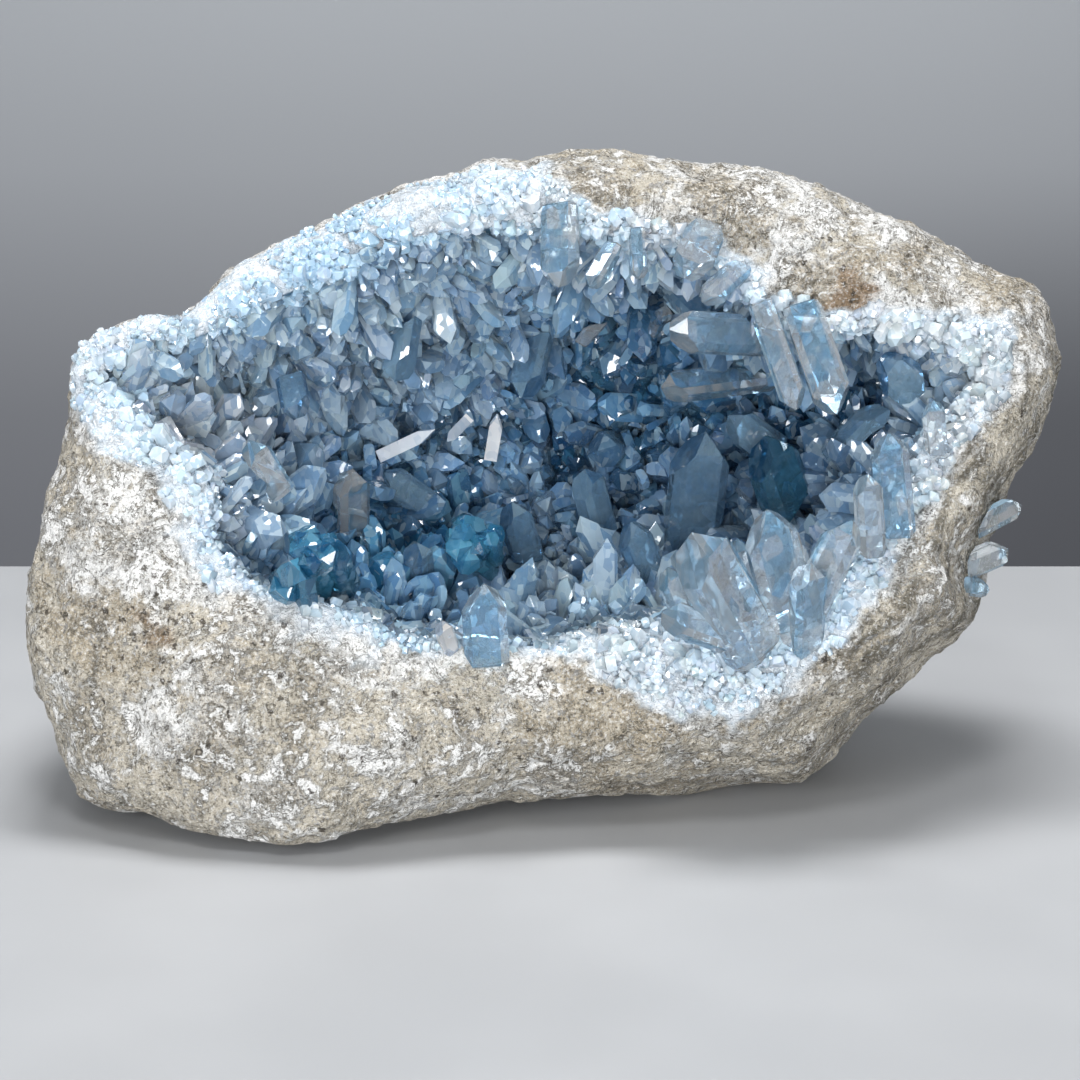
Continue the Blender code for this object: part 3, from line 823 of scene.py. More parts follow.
@dataclass
class CrystalFinish(Finish):
    """Celestite: see-through, with sharp faces, and with flat shards and milky clouds in it.

    Clearness is how much light goes through and gloss the roughness of its clearest and its
    cloudiest places. Colour is what it is tinted with; None takes each small crystal's own tint.
    Milk and the shard strength are how strongly the clouds and the shards differ from the tint;
    dark shards are painted shade and light ones painted glints. Shard is how wide the shards are
    in millimetres, and tilt how far they turn the surface. Shadow and lift are painted shade and
    painted light: they multiply the tint on the darkest and lightest faces and shards, and the
    thinning is how far the lightest goes over into the veil. Inside and density are the colour
    and strength of the absorption, if there is any.
    """

    name: str
    clearness: float
    gloss: tuple[float, float]
    colour: Colour | None = None
    veil: Colour = (0.90, 0.95, 0.98)
    milk: float = 0.35
    shard_shade_and_glint: float = 0.45
    shard: float = 1.8
    tilt: float = 0.16
    shadow: Colour = (0.40, 0.53, 0.68)
    lift: Colour = (1.26, 1.14, 1.06)
    inside: Colour = (0.60, 0.80, 0.92)
    density: float = 0.0
    index: float = 1.62
    cloud_mm: float = 3.0
    thinning: float = 0.45

    def __post_init__(self) -> None:
        """Nothing is made yet."""
        super().__init__()

    def facet(self, graph: Graph) -> Socket:
        """A number for each flat face that picks its painted light or shade: stored on small crystals,
        worked out from the normal on large.

        Args:
            graph: The material's nodes.

        Returns:
            The number, from 0 to 1.
        """
        if self.colour is None:
            return graph.attribute("facet")
        normal = graph.node("ShaderNodeNewGeometry", {}, {}, "True Normal")
        inputs = {"Vector": normal, "Scale": 3.1, "Detail": 1.0}
        return graph.node("ShaderNodeTexNoise", {}, inputs, "Fac").rise(0.38, 0.60)

    def build(self, graph: Graph) -> None:
        """Tint with cloudy veils in it; faces, and shards within them, differ in tilt and in painted
        light and shade.

        Args:
            graph: The material's nodes.
        """
        cloud = graph.noise(self.cloud_mm, 2, 0.6, 0.8)
        shards = graph.shards(self.shard)
        own = graph.node("ShaderNodeSeparateColor", {}, {0: shards}, 1)
        base = self.colour or graph.attribute("tint", "Color")
        dark = graph.blend(1.0, base, self.shadow, "MULTIPLY")
        light = graph.blend(1.0, base, self.lift, "MULTIPLY")
        veiled = graph.blend(self.thinning, light, self.veil)
        # Painted light and shade: each face is multiplied by the lift or the shadow, by its number.
        tint = graph.blend(self.facet(graph), dark, light)
        # Painted shade in the dark shards, painted glints in the light ones.
        tint = graph.blend(own.rise(0.30, 0.10) * self.shard_shade_and_glint * 1.5, tint, dark)
        tint = graph.blend(own.rise(0.78, 0.92) * self.shard_shade_and_glint * 1.6, tint, veiled)
        graph.surface(
            Base_Color=graph.blend(cloud.rise(0.48, 0.72) * self.milk, tint, veiled),
            Roughness=cloud.rise(0.40, 0.75, *self.gloss),
            IOR=self.index,
            Transmission_Weight=self.clearness,
            Normal=graph.tilted(shards, self.tilt),
        )
        if self.density > 0:
            graph.absorb(self.inside, self.density)


class TableFinish(Finish):
    """A smooth pale grey top."""

    name = "table_top"
    cloud_mm: float = 120.0
    dark: Colour = (0.405, 0.415, 0.43)
    light: Colour = (0.45, 0.46, 0.475)
    gloss: tuple[float, float] = (0.42, 0.52)

    def build(self, graph: Graph) -> None:
        """Nearly even grey with soft clouds in its colour and its gloss.

        Args:
            graph: The material's nodes.
        """
        cloud = graph.noise(self.cloud_mm, 3, 0.5)
        graph.surface(
            Base_Color=graph.blend(cloud.rise(0.3, 0.7), self.dark, self.light),
            Roughness=cloud.rise(0.3, 0.7, *self.gloss),
            Specular_IOR_Level=0.4,
        )


class WallFinish(Finish):
    """Matt grey with painted shade: darker downwards, to both sides and most of all low on the right."""

    name = "backdrop_grey"
    high: Colour = (0.72, 0.755, 0.80)
    low: Colour = (0.40, 0.41, 0.45)
    side: Colour = (0.42, 0.43, 0.47)
    corner: Colour = (0.10, 0.105, 0.12)

    def build(self, graph: Graph) -> None:
        """Lays the sides' and the corner's painted shade over a rise from low to high, itself painted
        shade towards the bottom.

        Args:
            graph: The material's nodes.
        """
        across = graph.node("ShaderNodeSeparateXYZ", {}, {0: graph.place()}, "X")
        height = across.also("Z")
        colour = graph.blend(height.rise(-0.35, 0.15), self.low, self.high)
        colour = graph.blend((across * across).rise(0.0, 0.5) * 0.35, colour, self.side)
        corner = across.rise(-0.1, 0.42) * height.rise(0.0, -0.25)
        colour = graph.blend(corner * 0.55, colour, self.corner)
        graph.surface(Base_Color=colour, Roughness=0.9, Specular_IOR_Level=0.1)


# Meshes


def mesh_object(
    name: str, points_mm: np.ndarray, triangles: np.ndarray, finish: Finish
) -> bpy.types.Object:
    """Makes an object from whole arrays.

    Args:
        name: The object's name.
        points_mm: Corners in the part's frame, in millimetres.
        triangles: Corner numbers, three to a row, seen anticlockwise from outside.
        finish: What it is made of.

    Returns:
        The object, linked into the scene.
    """
    mesh = bpy.data.meshes.new(name)
    mesh.vertices.add(len(points_mm))
    mesh.vertices.foreach_set("co", (points_mm * MM).astype(np.float32).ravel())
    mesh.loops.add(triangles.size)
    mesh.loops.foreach_set("vertex_index", triangles.astype(np.int32).ravel())
    mesh.polygons.add(len(triangles))
    mesh.polygons.foreach_set("loop_start", np.arange(0, triangles.size, 3, dtype=np.int32))
    mesh.polygons.foreach_set("use_smooth", np.zeros(len(triangles), bool))
    mesh.update(calc_edges=True)
    mesh.validate()
    mesh.materials.append(finish.material())
    made = bpy.data.objects.new(name, mesh)
    bpy.context.scene.collection.objects.link(made)
    return made


def store(made: bpy.types.Object, name: str, values: np.ndarray, domain: str = "POINT") -> None:
    """Stores a number or a colour for each corner, or for each face, of an object's mesh.

    Args:
        made: The object.
        name: What to store it as.
        values: A number or a colour for each.
        domain: POINT for corners, FACE for faces.
    """
    count = len(made.data.polygons if domain == "FACE" else made.data.vertices)
    flat = values.reshape(count, -1)
    kind, slot = "FLOAT", "value"
    if flat.shape[1] > 1:
        kind, slot = "FLOAT_COLOR", "color"
        flat = np.concatenate([flat, np.ones((count, 1))], axis=1)
    stored = made.data.attributes.new(name, kind, domain)
    stored.data.foreach_set(slot, flat.astype(np.float32).ravel())


def closed_grid(rows: np.ndarray) -> tuple[np.ndarray, np.ndarray]:
    """Corners and triangles of a grid that closes round itself, capped by its end rings' middles.

    Args:
        rows: Points by row and column.

    Returns:
        The corners, with the two poles last, and the triangles.
    """
    count, around = rows.shape[:2]
    index = np.arange(count * around).reshape(count, around)
    right = np.roll(index, -1, axis=1)
    a, b, c, d = index[:-1], right[:-1], right[1:], index[1:]
    first, last = count * around, count * around + 1
    triangles = np.concatenate(
        [
            np.stack([a, b, c], -1).reshape(-1, 3),
            np.stack([a, c, d], -1).reshape(-1, 3),
            np.stack([np.full(around, first), right[0], index[0]], -1),
            np.stack([np.full(around, last), index[-1], right[-1]], -1),
        ]
    )
    corners = np.concatenate([rows.reshape(-1, 3), [rows[0].mean(0)], [rows[-1].mean(0)]])
    return corners, triangles


def volume_of(points: np.ndarray, triangles: np.ndarray) -> float:
    """Signed volume of a closed mesh: the sum of its tetrahedra to the origin."""
    a, b, c = (points[triangles[:, k]] for k in range(3))
    return float(np.einsum("ij,ij->i", a, np.cross(b, c)).sum() / 6)


@dataclass(frozen=True)
class Relief:
    """One layered noise: its seed, its size in millimetres, its layers and its height."""

    seed: int
    size: float
    layers: int
    gain: float
    height: float

    def at(self, points: np.ndarray) -> np.ndarray:
        """The noise at each point, times its height."""
        return self.height * Noise(self.seed).layers(points, self.size, self.layers, self.gain)


@dataclass
class RockSkin:
    """The stone's rough outside, its rim and the bare wall behind the crystals.

    The relief fades out towards the table below full_above. Bed strength is given by clock angle,
    and the lists of spots say where the outside is pitted, white, tan or stained. A start, an end
    and a band are each where a zone begins to change and where it is done: along the profile for
    the beds, the outside and the hollow, inwards from the frost's edge for chalk and sugar, and
    else by noise, with the spots added where there are some.
    """

    nodule: Nodule
    finish: Finish
    around: int = 560
    back_rows: int = 58
    front_rows: int = 56
    rim_rows: int = 38
    hollow_rows: int = 17
    lumps: tuple[Relief, ...] = (
        Relief(3, 15.0, 4, 0.58, 1.4), Relief(5, 31.0, 1, 1.0, 1.0), Relief(9, 2.4, 2, 0.6, 0.5),
    )
    ridges: Relief = Relief(4, 19.0, 3, 0.5, 0.5)
    bed_height: float = 0.7
    full_above: float = 6.0
    outside_end: tuple[float, float] = (2.7, 3.0)
    hollow_band: tuple[float, float] = (2.93, 3.05)
    bed_start: tuple[float, float] = (0.9, 1.15)
    bed_end: tuple[float, float] = (2.1, 2.5)
    bed_strength: Pairs = (
        (0, 1.0), (9, 0.75), (20, 0.1), (40, 0.0), (180, 0.0), (285, 0.15), (305, 0.6), (330, 1.0),
    )
    beds_per_s: float = 4.2
    bed_drift: Relief = Relief(21, 16.0, 3, 0.5, 0.55)
    bed_gaps: Relief = Relief(22, 11.0, 3, 0.6, 1.0)
    gap_band: tuple[float, float] = (-0.5, 0.25)
    bed_power: float = 0.7
    pit_crowd: float = 0.11
    pitted: Spots = (((-99, -44), 14.0, 0.55), ((-80, -30), 14.0, 0.3), ((0, -60), 30.0, 0.10))
    chalky: Spots = (
        ((-100, -20), 16.0, 0.8), ((95, 42), 26.0, 0.45), ((60, 55), 22.0, 0.4),
        ((28, 64), 12.0, 0.7), ((-100, -66), 12.0, 0.5), ((-45, -74), 16.0, 0.4),
    )
    chalk_edge: Relief = Relief(51, 12.0, 4, 0.6, 0.45)
    chalk_band: tuple[float, float] = (-0.5, -0.05)
    chalk_share: float = 0.7
    tanned: Spots = (
        ((13, 64), 9.0, 1.0), ((39, 61), 10.0, 1.0), ((66, 42), 12.0, 0.9), ((84, 48), 8.0, 0.7),
        ((108, 40), 8.0, 0.6), ((8, -56), 16.0, 0.6), ((-110, -40), 18.0, 0.6),
        ((20, -70), 26.0, 0.5), ((72, -52), 20.0, 0.25),
    )
    tan_edge: Relief = Relief(61, 7.0, 4, 0.65, 0.45)
    tan_band: tuple[float, float] = (0.35, 0.65)
    stained: Spots = (
        ((73, 40), 7.0, 0.9), ((-98, -43), 6.0, 0.7), ((31, -60), 4.0, 0.9), ((60, 35), 9.0, 0.35),
    )
    stain_edge: Relief = Relief(71, 4.0, 3, 0.6, 0.3)
    stain_band: tuple[float, float] = (0.3, 0.8)
    stain_strength: float = 0.8
    sugar_edge: Relief = Relief(31, 9.0, 4, 0.6, 0.22)
    sugar_band: tuple[float, float] = (-0.2, 0.02)
    sugar_from: float = 1.2

    def rows(self) -> np.ndarray:
        """Places along the profile, closest together where the stone faces the viewer.

        Returns:
            The places, from the back to the hollow's floor.
        """
        parts = [
            np.linspace(0, 1, self.back_rows, endpoint=False)[1:],
            np.linspace(1, 2, self.front_rows, endpoint=False),
            np.linspace(2, 3, self.rim_rows, endpoint=False),
            np.linspace(3, 4, self.hollow_rows, endpoint=False),
        ]
        return np.concatenate(parts)

    def build(self) -> bpy.types.Object:
        """Raises lumps, ridges, beds and grit on the stone's surface and stores its zones.

        Every point moves along its normal by the sum of the lumps' noises, the ridges, where a
        noise crosses zero, and the beds.

        Returns:
            The object.
        """
        angle = np.broadcast_to(self.nodule.angles(self.around), (len(self.rows()), self.around))
        s = np.broadcast_to(self.rows()[:, None], angle.shape)
        radius, _ = self.nodule.profile(angle, s)
        x, z = radius * np.cos(angle), radius * np.sin(angle)
        points = self.nodule.surface(angle, s)
        normals = grid_normals(points)
        outside = 1 - smooth(*self.outside_end, s)
        off_table = smooth(0.0, self.full_above, points[..., 2])
        bed = self.beds(angle, s, points)
        edge = self.nodule.frost_edge(angle)
        near_frost = self.chalk_share * smooth(*self.chalk_band, s - edge)
        height = sum(lump.at(points) for lump in self.lumps) + self.bed_height * (bed - 0.5)
        height = height + self.ridges.height - 2 * np.abs(self.ridges.at(points))
        points = points + normals * (height * outside * off_table)[..., None]
        points[..., 2] = np.maximum(points[..., 2], 0.0)

        corners, triangles = closed_grid(points)
        if volume_of(corners, triangles) < 0:
            triangles = triangles[:, ::-1]
        made = mesh_object("rock_skin", corners, triangles, self.finish)
        zones = {
            "pit": self.pits(x, z) * outside,
            "bed": bed * outside,
            "chalk": np.clip(self.chalk(x, z, points) + near_frost, 0, 1),
            "tan": self.tan(x, z, points),
            "stain": self.stains(x, z, points),
            "sugar": self.sugar(s, edge, points),
            # Where the hollow's wall is painted deep blue, partly as painted shade between the crystals.
            "hollow": smooth(*self.hollow_band, s),
        }
        for name, values in zones.items():
            store(made, name, self.with_poles(values))
        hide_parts("matrix_shell")
        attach(made, "root")
        return made

    @staticmethod
    def with_poles(values: np.ndarray) -> np.ndarray:
        """A grid's values, with its two poles' added."""
        return np.concatenate([values.ravel(), [values[0].mean()], [values[-1].mean()]])

    def pits(self, x: np.ndarray, z: np.ndarray) -> np.ndarray:
        """How crowded the small holes are: most of all low on the left."""
        return self.pit_crowd + spots(x, z, self.pitted)

    def beds(self, angle: np.ndarray, s: np.ndarray, points: np.ndarray) -> np.ndarray:
        """Dark layers that run with the rim on the right: waves along the profile, broken by noise.

        Args:
            angle: Clock angles in radians.
            s: Places along the profile.
            points: The points there.

        Returns:
            How dark the layers are, from 0 to 1.
        """
        wave = 0.5 + 0.5 * np.sin(TURN * (s * self.beds_per_s + self.bed_drift.at(points)))
        where = np.clip(by_clock(self.bed_strength, angle), 0, 1)
        where = where * smooth(*self.bed_start, s) * (1 - smooth(*self.bed_end, s))
        return where * wave**self.bed_power * smooth(*self.gap_band, self.bed_gaps.at(points))

    def chalk(self, x: np.ndarray, z: np.ndarray, points: np.ndarray) -> np.ndarray:
        """White patches: the upper right rim, the left shoulder, and here and there low down."""
        return np.clip(spots(x, z, self.chalky) + self.chalk_edge.at(points), 0, 1)

    def tan(self, x: np.ndarray, z: np.ndarray, points: np.ndarray) -> np.ndarray:
        """Tan patches on the rim and low down: each a soft spot with a ragged edge."""
        return smooth(*self.tan_band, spots(x, z, self.tanned) + self.tan_edge.at(points))

    def stains(self, x: np.ndarray, z: np.ndarray, points: np.ndarray) -> np.ndarray:
        """Brown marks: under the upper rim on the right, in the left pits, at the lower lip."""
        near = spots(x, z, self.stained) + self.stain_edge.at(points)
        return smooth(*self.stain_band, near) * self.stain_strength

    def sugar(self, s: np.ndarray, edge: np.ndarray, points: np.ndarray) -> np.ndarray:
        """How white and crystalline the rim is: full inside the frost's edge, ragged further out."""
        inward = s - edge + self.sugar_edge.at(points)
        return smooth(*self.sugar_band, inward) * (s > self.sugar_from)


# Crystals

# The chamfers' turn as a share of the diagonal's, and the roof faces' steps in widths
SLANT_SHARE = 0.92
ROOF_HIGH = 0.12
ROOF_LOW = 0.05
HIP_HIGH = 0.06


class Habit(Enum):
    """The crystal shapes: thickness and length over width, roof and hip slopes, chamfer or none."""

    GRAIN = (0.90, 0.9, 46.0, 36.0, 0.0)
    CHIP = (0.65, 1.3, 42.0, 28.0, 0.0)
    BLOCK = (0.75, 1.6, 44.0, 30.0, 0.80)
    CHISEL = (0.60, 1.9, 55.0, 25.0, 0.86)
    PRISM = (0.80, 2.3, 55.0, 42.0, 0.78)
    BLADE = (0.40, 2.4, 44.0, 34.0, 0.86)
    SPLINTER = (0.45, 3.4, 62.0, 24.0, 0.0)

    def solid(self) -> tuple[np.ndarray, np.ndarray]:
        """Corners and triangles of the crystal, one wide and one long, standing on its root.

        A crystal is all that lies behind its faces' planes: each corner is where three planes
        meet and no other cuts it off. The four roof faces stand a little higher or lower than
        each other, so that they meet in a short ridge.

        Returns:
            The corners and the triangles.
        """
        thickness, length, roof, hip, chamfer = self.value
        half, thin = 0.5, thickness / 2
        slant = math.atan2(1.0, thickness) * SLANT_SHARE
        diagonal = (half * math.cos(slant) + thin * math.sin(slant)) * chamfer
        roof, hip = math.radians(roof), math.radians(hip)
        planes = [((sx, 0, 0), half) for sx in (1, -1)] + [((0, sy, 0), thin) for sy in (1, -1)]
        if chamfer:
            planes += [
                ((sx * math.cos(slant), sy * math.sin(slant), 0), diagonal)
                for sx in (1, -1)
                for sy in (1, -1)
            ]
        planes += [
            ((math.sin(roof), 0, math.cos(roof)), (length + ROOF_HIGH) * math.cos(roof)),
            ((-math.sin(roof), 0, math.cos(roof)), (length - ROOF_LOW) * math.cos(roof)),
            ((0, math.sin(hip), math.cos(hip)), (length + HIP_HIGH * thickness) * math.cos(hip)),
            ((0, -math.sin(hip), math.cos(hip)), length * math.cos(hip)),
            ((0, 0, -1), 0.0),
        ]
        normals = np.array([p[0] for p in planes], float)
        distance = np.array([p[1] for p in planes], float)
        triples = np.array(list(combinations(range(len(planes)), 3)))
        systems, sides = normals[triples], distance[triples]
        solvable = np.abs(np.linalg.det(systems)) > 1e-6
        corners = np.linalg.solve(systems[solvable], sides[solvable][..., None])[..., 0]
        inside = (corners @ normals.T <= distance + 1e-6).all(axis=1)
        corners = np.unique(np.round(corners[inside], 5), axis=0)
        shape = bmesh.new()
        for corner in corners:
            shape.verts.new(corner)
        bmesh.ops.convex_hull(shape, input=shape.verts)
        bmesh.ops.recalc_face_normals(shape, faces=shape.faces)
        bmesh.ops.triangulate(shape, faces=shape.faces)
        shape.verts.index_update()
        points = np.array([v.co[:] for v in shape.verts])
        triangles = np.array([[v.index for v in f.verts] for f in shape.faces])
        shape.free()
        points[:, 2] /= points[:, 2].max()
        if volume_of(points, triangles) < 0:
            triangles = triangles[:, ::-1]
        return points, triangles


@dataclass
class Crystals:
    """Many crystals that share one mesh; lengths in millimetres, one row to a crystal.

    Kind is each one's number in the list of habits, or -1 for none. Brightest is as light as a
    tint may be. The root shade is painted shade between the crystals: what a tint is multiplied
    by at the root, and how much more at the tip.
    """

    root: np.ndarray
    side: np.ndarray
    axis: np.ndarray
    width: np.ndarray
    length: np.ndarray
    tint: np.ndarray
    kind: np.ndarray
    root_shade: tuple[float, float] = (0.60, 0.70)
    brightest: float = 0.93

    def build(
        self, name: str, habits: tuple[Habit, ...], finish: Finish, rng: np.random.Generator
    ) -> bpy.types.Object:
        """Stretches a copy of its habit along each crystal's axis.

        A corner is root + side·x·width + (axis × side)·y·width + axis·z·length. Tints are painted
        darker at the roots, as shade between the crystals, and paler towards the tips, and every flat
        face gets a random number of its own, which picks its painted light or shade.

        Args:
            name: The object's name.
            habits: The shapes that kind counts through.
            finish: What they are made of.
            rng: Source of the faces' numbers.

        Returns:
            The object.
        """
        corners, triangles, colours, face_light_and_shade = [], [], [], []
        total = 0
        for kind, habit in enumerate(habits):
            shape, faces = habit.solid()
            mine = self.kind == kind
            if not mine.any():
                continue
            side, axis = self.side[mine][:, None], self.axis[mine][:, None]
            wide = self.width[mine][:, None, None]
            body = (
                self.root[mine][:, None]
                + side * shape[None, :, :1] * wide
                + np.cross(axis, side) * shape[None, :, 1:2] * wide
                + axis * shape[None, :, 2:] * self.length[mine][:, None, None]
            )
            corners.append(body.reshape(-1, 3))
            first = total + np.arange(mine.sum())[:, None, None] * len(shape)
            triangles.append((faces[None] + first).reshape(-1, 3))
            # Each flat face's own number, which picks its painted light or shade.
            across = shape[faces[:, 1]] - shape[faces[:, 0]], shape[faces[:, 2]] - shape[faces[:, 0]]
            flat, facet = np.unique(np.round(unit(np.cross(*across)), 3), axis=0, return_inverse=True)
            face_light_and_shade.append(rng.uniform(size=(mine.sum(), len(flat)))[:, facet.ravel()].ravel())
            # Painted shade between the crystals: darker at the root, paler towards the tip.
            root_shade = self.root_shade[0] + self.root_shade[1] * shape[None, :, 2:]
            colours.append((self.tint[mine][:, None] * root_shade).reshape(-1, 3))
            total += mine.sum() * len(shape)
        made = mesh_object(name, np.concatenate(corners), np.concatenate(triangles), finish)
        tinted = np.concatenate(colours)
        over = np.maximum(tinted.max(axis=1, keepdims=True) / self.brightest, 1.0)
        store(made, "tint", tinted / over)
        store(made, "facet", np.concatenate(face_light_and_shade), "FACE")
        return made


@dataclass(frozen=True)
class Growth:
    """One generation of small crystals over part of the crust; lengths in millimetres.

    Stretch multiplies the habits' lengths, lean is how far crystals lean at random, sink how deep
    their roots are, and where gives the chance of a crystal at a place.
    """

    name: str
    spacing: float
    width: tuple[float, float]
    stretch: tuple[float, float]
    lean: float
    sink: float
    where: Callable[[np.ndarray, np.ndarray, np.ndarray, np.ndarray], np.ndarray]
    habits: tuple[Habit, ...]
    seed: int
    frosty: bool = False


@dataclass(frozen=True)
class NamedCrystals:
    """The prominent crystals' faces, as planes, to keep the small ones out of their cores.

    The core of a node is all that lies behind every one of its faces: the whole of it if it is
    convex, and the part round its middle, or nothing, if several crystals are joined in it.
    """

    planes: tuple[tuple[np.ndarray, np.ndarray], ...]

    @classmethod
    def of_frame(cls, slots: tuple[str, ...]) -> "NamedCrystals":
        """Reads the faces of every node that has one of the slots.

        Args:
            slots: Material slots of the clear crystals.

        Returns:
            Normals and distances of each node's faces, in millimetres.
        """
        planes = []
        for entry in frame["record"]["subparts"]:
            if entry["material_slot"] not in slots:
                continue
            made = frame["nodes"][entry["node"]]
            mesh, turned = made.data, np.array(made.matrix_world)
            middles = np.empty(len(mesh.polygons) * 3)
            normals = np.empty(len(mesh.polygons) * 3)
            mesh.polygons.foreach_get("center", middles)
            mesh.polygons.foreach_get("normal", normals)
            middles = middles.reshape(-1, 3) @ turned[:3, :3].T + turned[:3, 3]
            normals = unit(normals.reshape(-1, 3) @ turned[:3, :3].T)
            planes.append((normals, np.einsum("ij,ij->i", normals, middles / MM)))
        return cls(tuple(planes))

    def holds(self, points: np.ndarray, spare: float) -> np.ndarray:
        """Which points lie in the core of some node, or within spare of it.

        Args:
            points: The points.
            spare: How far outside still counts.

        Returns:
            True for each such point.
        """
        inside = np.zeros(len(points), bool)
        for normals, distance in self.planes:
            inside |= (points @ normals.T <= distance + spare).all(axis=1)
        return inside


@dataclass
class Druse:
    """The thousands of small crystals that line the hollow and frost the rim.

    They grow in rosettes: rosette is the distance between their middles, fan how far crystals
    lean away from there, and dome how much longer the middle ones are. A small crystal is left
    out if its middle would be in a prominent one's core, or its tip there or within spare of it.
    The bands are where along the profile one thing goes over into the next, but the icy one is
    by noise, and the lists of spots say where the colours go by place instead. Shades multiply
    them from crystal to crystal. Own and rim width are each a share of a crystal's width and how
    much more it gets, by its rosette's own number and towards the hollow.
    """

    nodule: Nodule
    finish: Finish
    frosty: Finish
    named: NamedCrystals
    draws: int = 90000
    columns: int = 720
    rim_steps: int = 90
    hollow_steps: int = 140
    outermost: float = 1.2
    innermost: float = 3.995
    pole: float = 3.999
    nudge: float = 0.004
    key_span: int = 4096
    edge: Relief = Relief(31, 9.0, 4, 0.6, 0.2)
    rosettes: Noise = Noise(88)
    rosette: float = 13.0
    fan: float = 1.4
    dome: float = 7.0
    spare: float = 0.4
    wall_from: float = 3.2
    ragged_until: float = 2.9
    own_width: tuple[float, float] = (0.8, 0.4)
    rim_width: tuple[float, float] = (0.7, 0.3)
    width_band: tuple[float, float] = (1.3, 2.5)
    crest_reach: float = 0.8
    dome_band: tuple[float, float] = (3.0, 3.2)
    frost: Colour = (0.84, 0.88, 0.91)
    painted_shade: Colour = (0.56, 0.60, 0.63)
    ice: Colour = (0.60, 0.82, 0.99)
    steel: Colour = (0.32, 0.65, 0.97)
    slate: Colour = (0.04, 0.25, 0.45)
    azure: Colour = (0.01, 0.27, 0.52)
    night: Colour = (0.015, 0.10, 0.21)
    lilac: Colour = (0.40, 0.53, 0.70)
    ice_band: tuple[float, float] = (2.75, 3.3)
    steel_band: tuple[float, float] = (3.25, 3.6)
    slate_band: tuple[float, float] = (3.42, 3.82)
    slate_share: float = 0.95
    azure_band: tuple[float, float] = (2.95, 3.15)
    gloom_band: tuple[float, float] = (3.0, 3.15)
    shade_band: tuple[float, float] = (2.9, 3.3)
    grey_band: tuple[float, float] = (3.1, 3.4)
    grey_chance: float = 0.12
    grey_share: float = 0.4
    middle_ice: float = 0.35
    edge_shade: float = 0.62
    middle_shade: float = 0.70
    own_shade: tuple[float, float] = (0.70, 1.30)
    rim_evenness: float = 0.6
    hollow_lift: float = 0.3
    hue_shake: float = 0.015
    root_shift: float = 0.25
    tip_reach: float = 1.4
    half_way: float = 0.55
    icy: Relief = Relief(35, 8.0, 3, 0.6, 1.0)
    icy_band: tuple[float, float] = (-0.1, 0.6)
    icy_share: float = 0.5
    lilac_at: Spots = (((-10, 10), 30.0, 0.25),)
    azure_at: Spots = (((-58, -25), 24.0, 0.9), ((-28, -30), 18.0, 0.9))
    pale_at: Spots = (
        ((4, -38), 22.0, 1.36), ((55, -32), 24.0, 0.85), ((-92, 8), 24.0, 0.85),
        ((-48, 34), 34.0, 1.105),
    )
    gloom_at: Spots = (
        ((72, 10), 24.0, 1.0), ((8, -3), 25.0, 1.0), ((-46, -14), 15.0, 1.0),
        ((22, 36), 13.0, 1.0), ((50, -8), 17.0, 1.0),
    )
    painted_shade_at: Spots = (((10, -50), 22.0, 1.0), ((102, 8), 26.0, 1.0))
    frost_and_light_at: Spots = (((-92, 0), 18.0, 0.6), ((60, -42), 14.0, 0.5))

    def tint(self, x: np.ndarray, z: np.ndarray, s: np.ndarray, points: np.ndarray) -> np.ndarray:
        """Colour by place: frosty at the rim, steel then slate inwards, azure at the lower left.

        The slate is partly the crystals' own darker blue and partly painted shade; the night blue over
        the deepest spots and the grey over the lip and the right rim are painted shade, and the frost at
        the left trough is partly painted light.

        Args:
            x: Apparent places to the right of the mouth's middle.
            z: Apparent places above it.
            s: Places along the profile.
            points: The points there.

        Returns:
            A colour for each point.
        """
        base = np.broadcast_to(np.array(self.frost), (*x.shape, 3))
        icy = smooth(*self.icy_band, self.icy.at(points))
        base = toward(base, self.ice, icy * self.icy_share)
        base = toward(base, self.ice, smooth(*self.ice_band, s))
        base = toward(base, self.steel, smooth(*self.steel_band, s))
        # Slate deep inside: partly the crystals' own darker blue, partly painted shade.
        base = toward(base, self.slate, smooth(*self.slate_band, s) * self.slate_share)
        base = toward(base, self.lilac, spots(x, z, self.lilac_at))
        inside = smooth(*self.azure_band, s)
        base = toward(base, self.azure, spots(x, z, self.azure_at) * inside)
        base = toward(base, self.ice, spots(x, z, self.pale_at))
        # Painted shade: night blue over the deepest spots of the hollow.
        base = toward(base, self.night, spots(x, z, self.gloom_at) * smooth(*self.gloom_band, s))
        # Painted shade: greyer over the lip and the right rim.
        base = toward(base, self.painted_shade, spots(x, z, self.painted_shade_at) * (1 - inside))
        # Paler frost at the left trough, partly painted light over its shaded gaps, and real frost at
        # the lower right.
        return toward(base, self.frost, spots(x, z, self.frost_and_light_at))

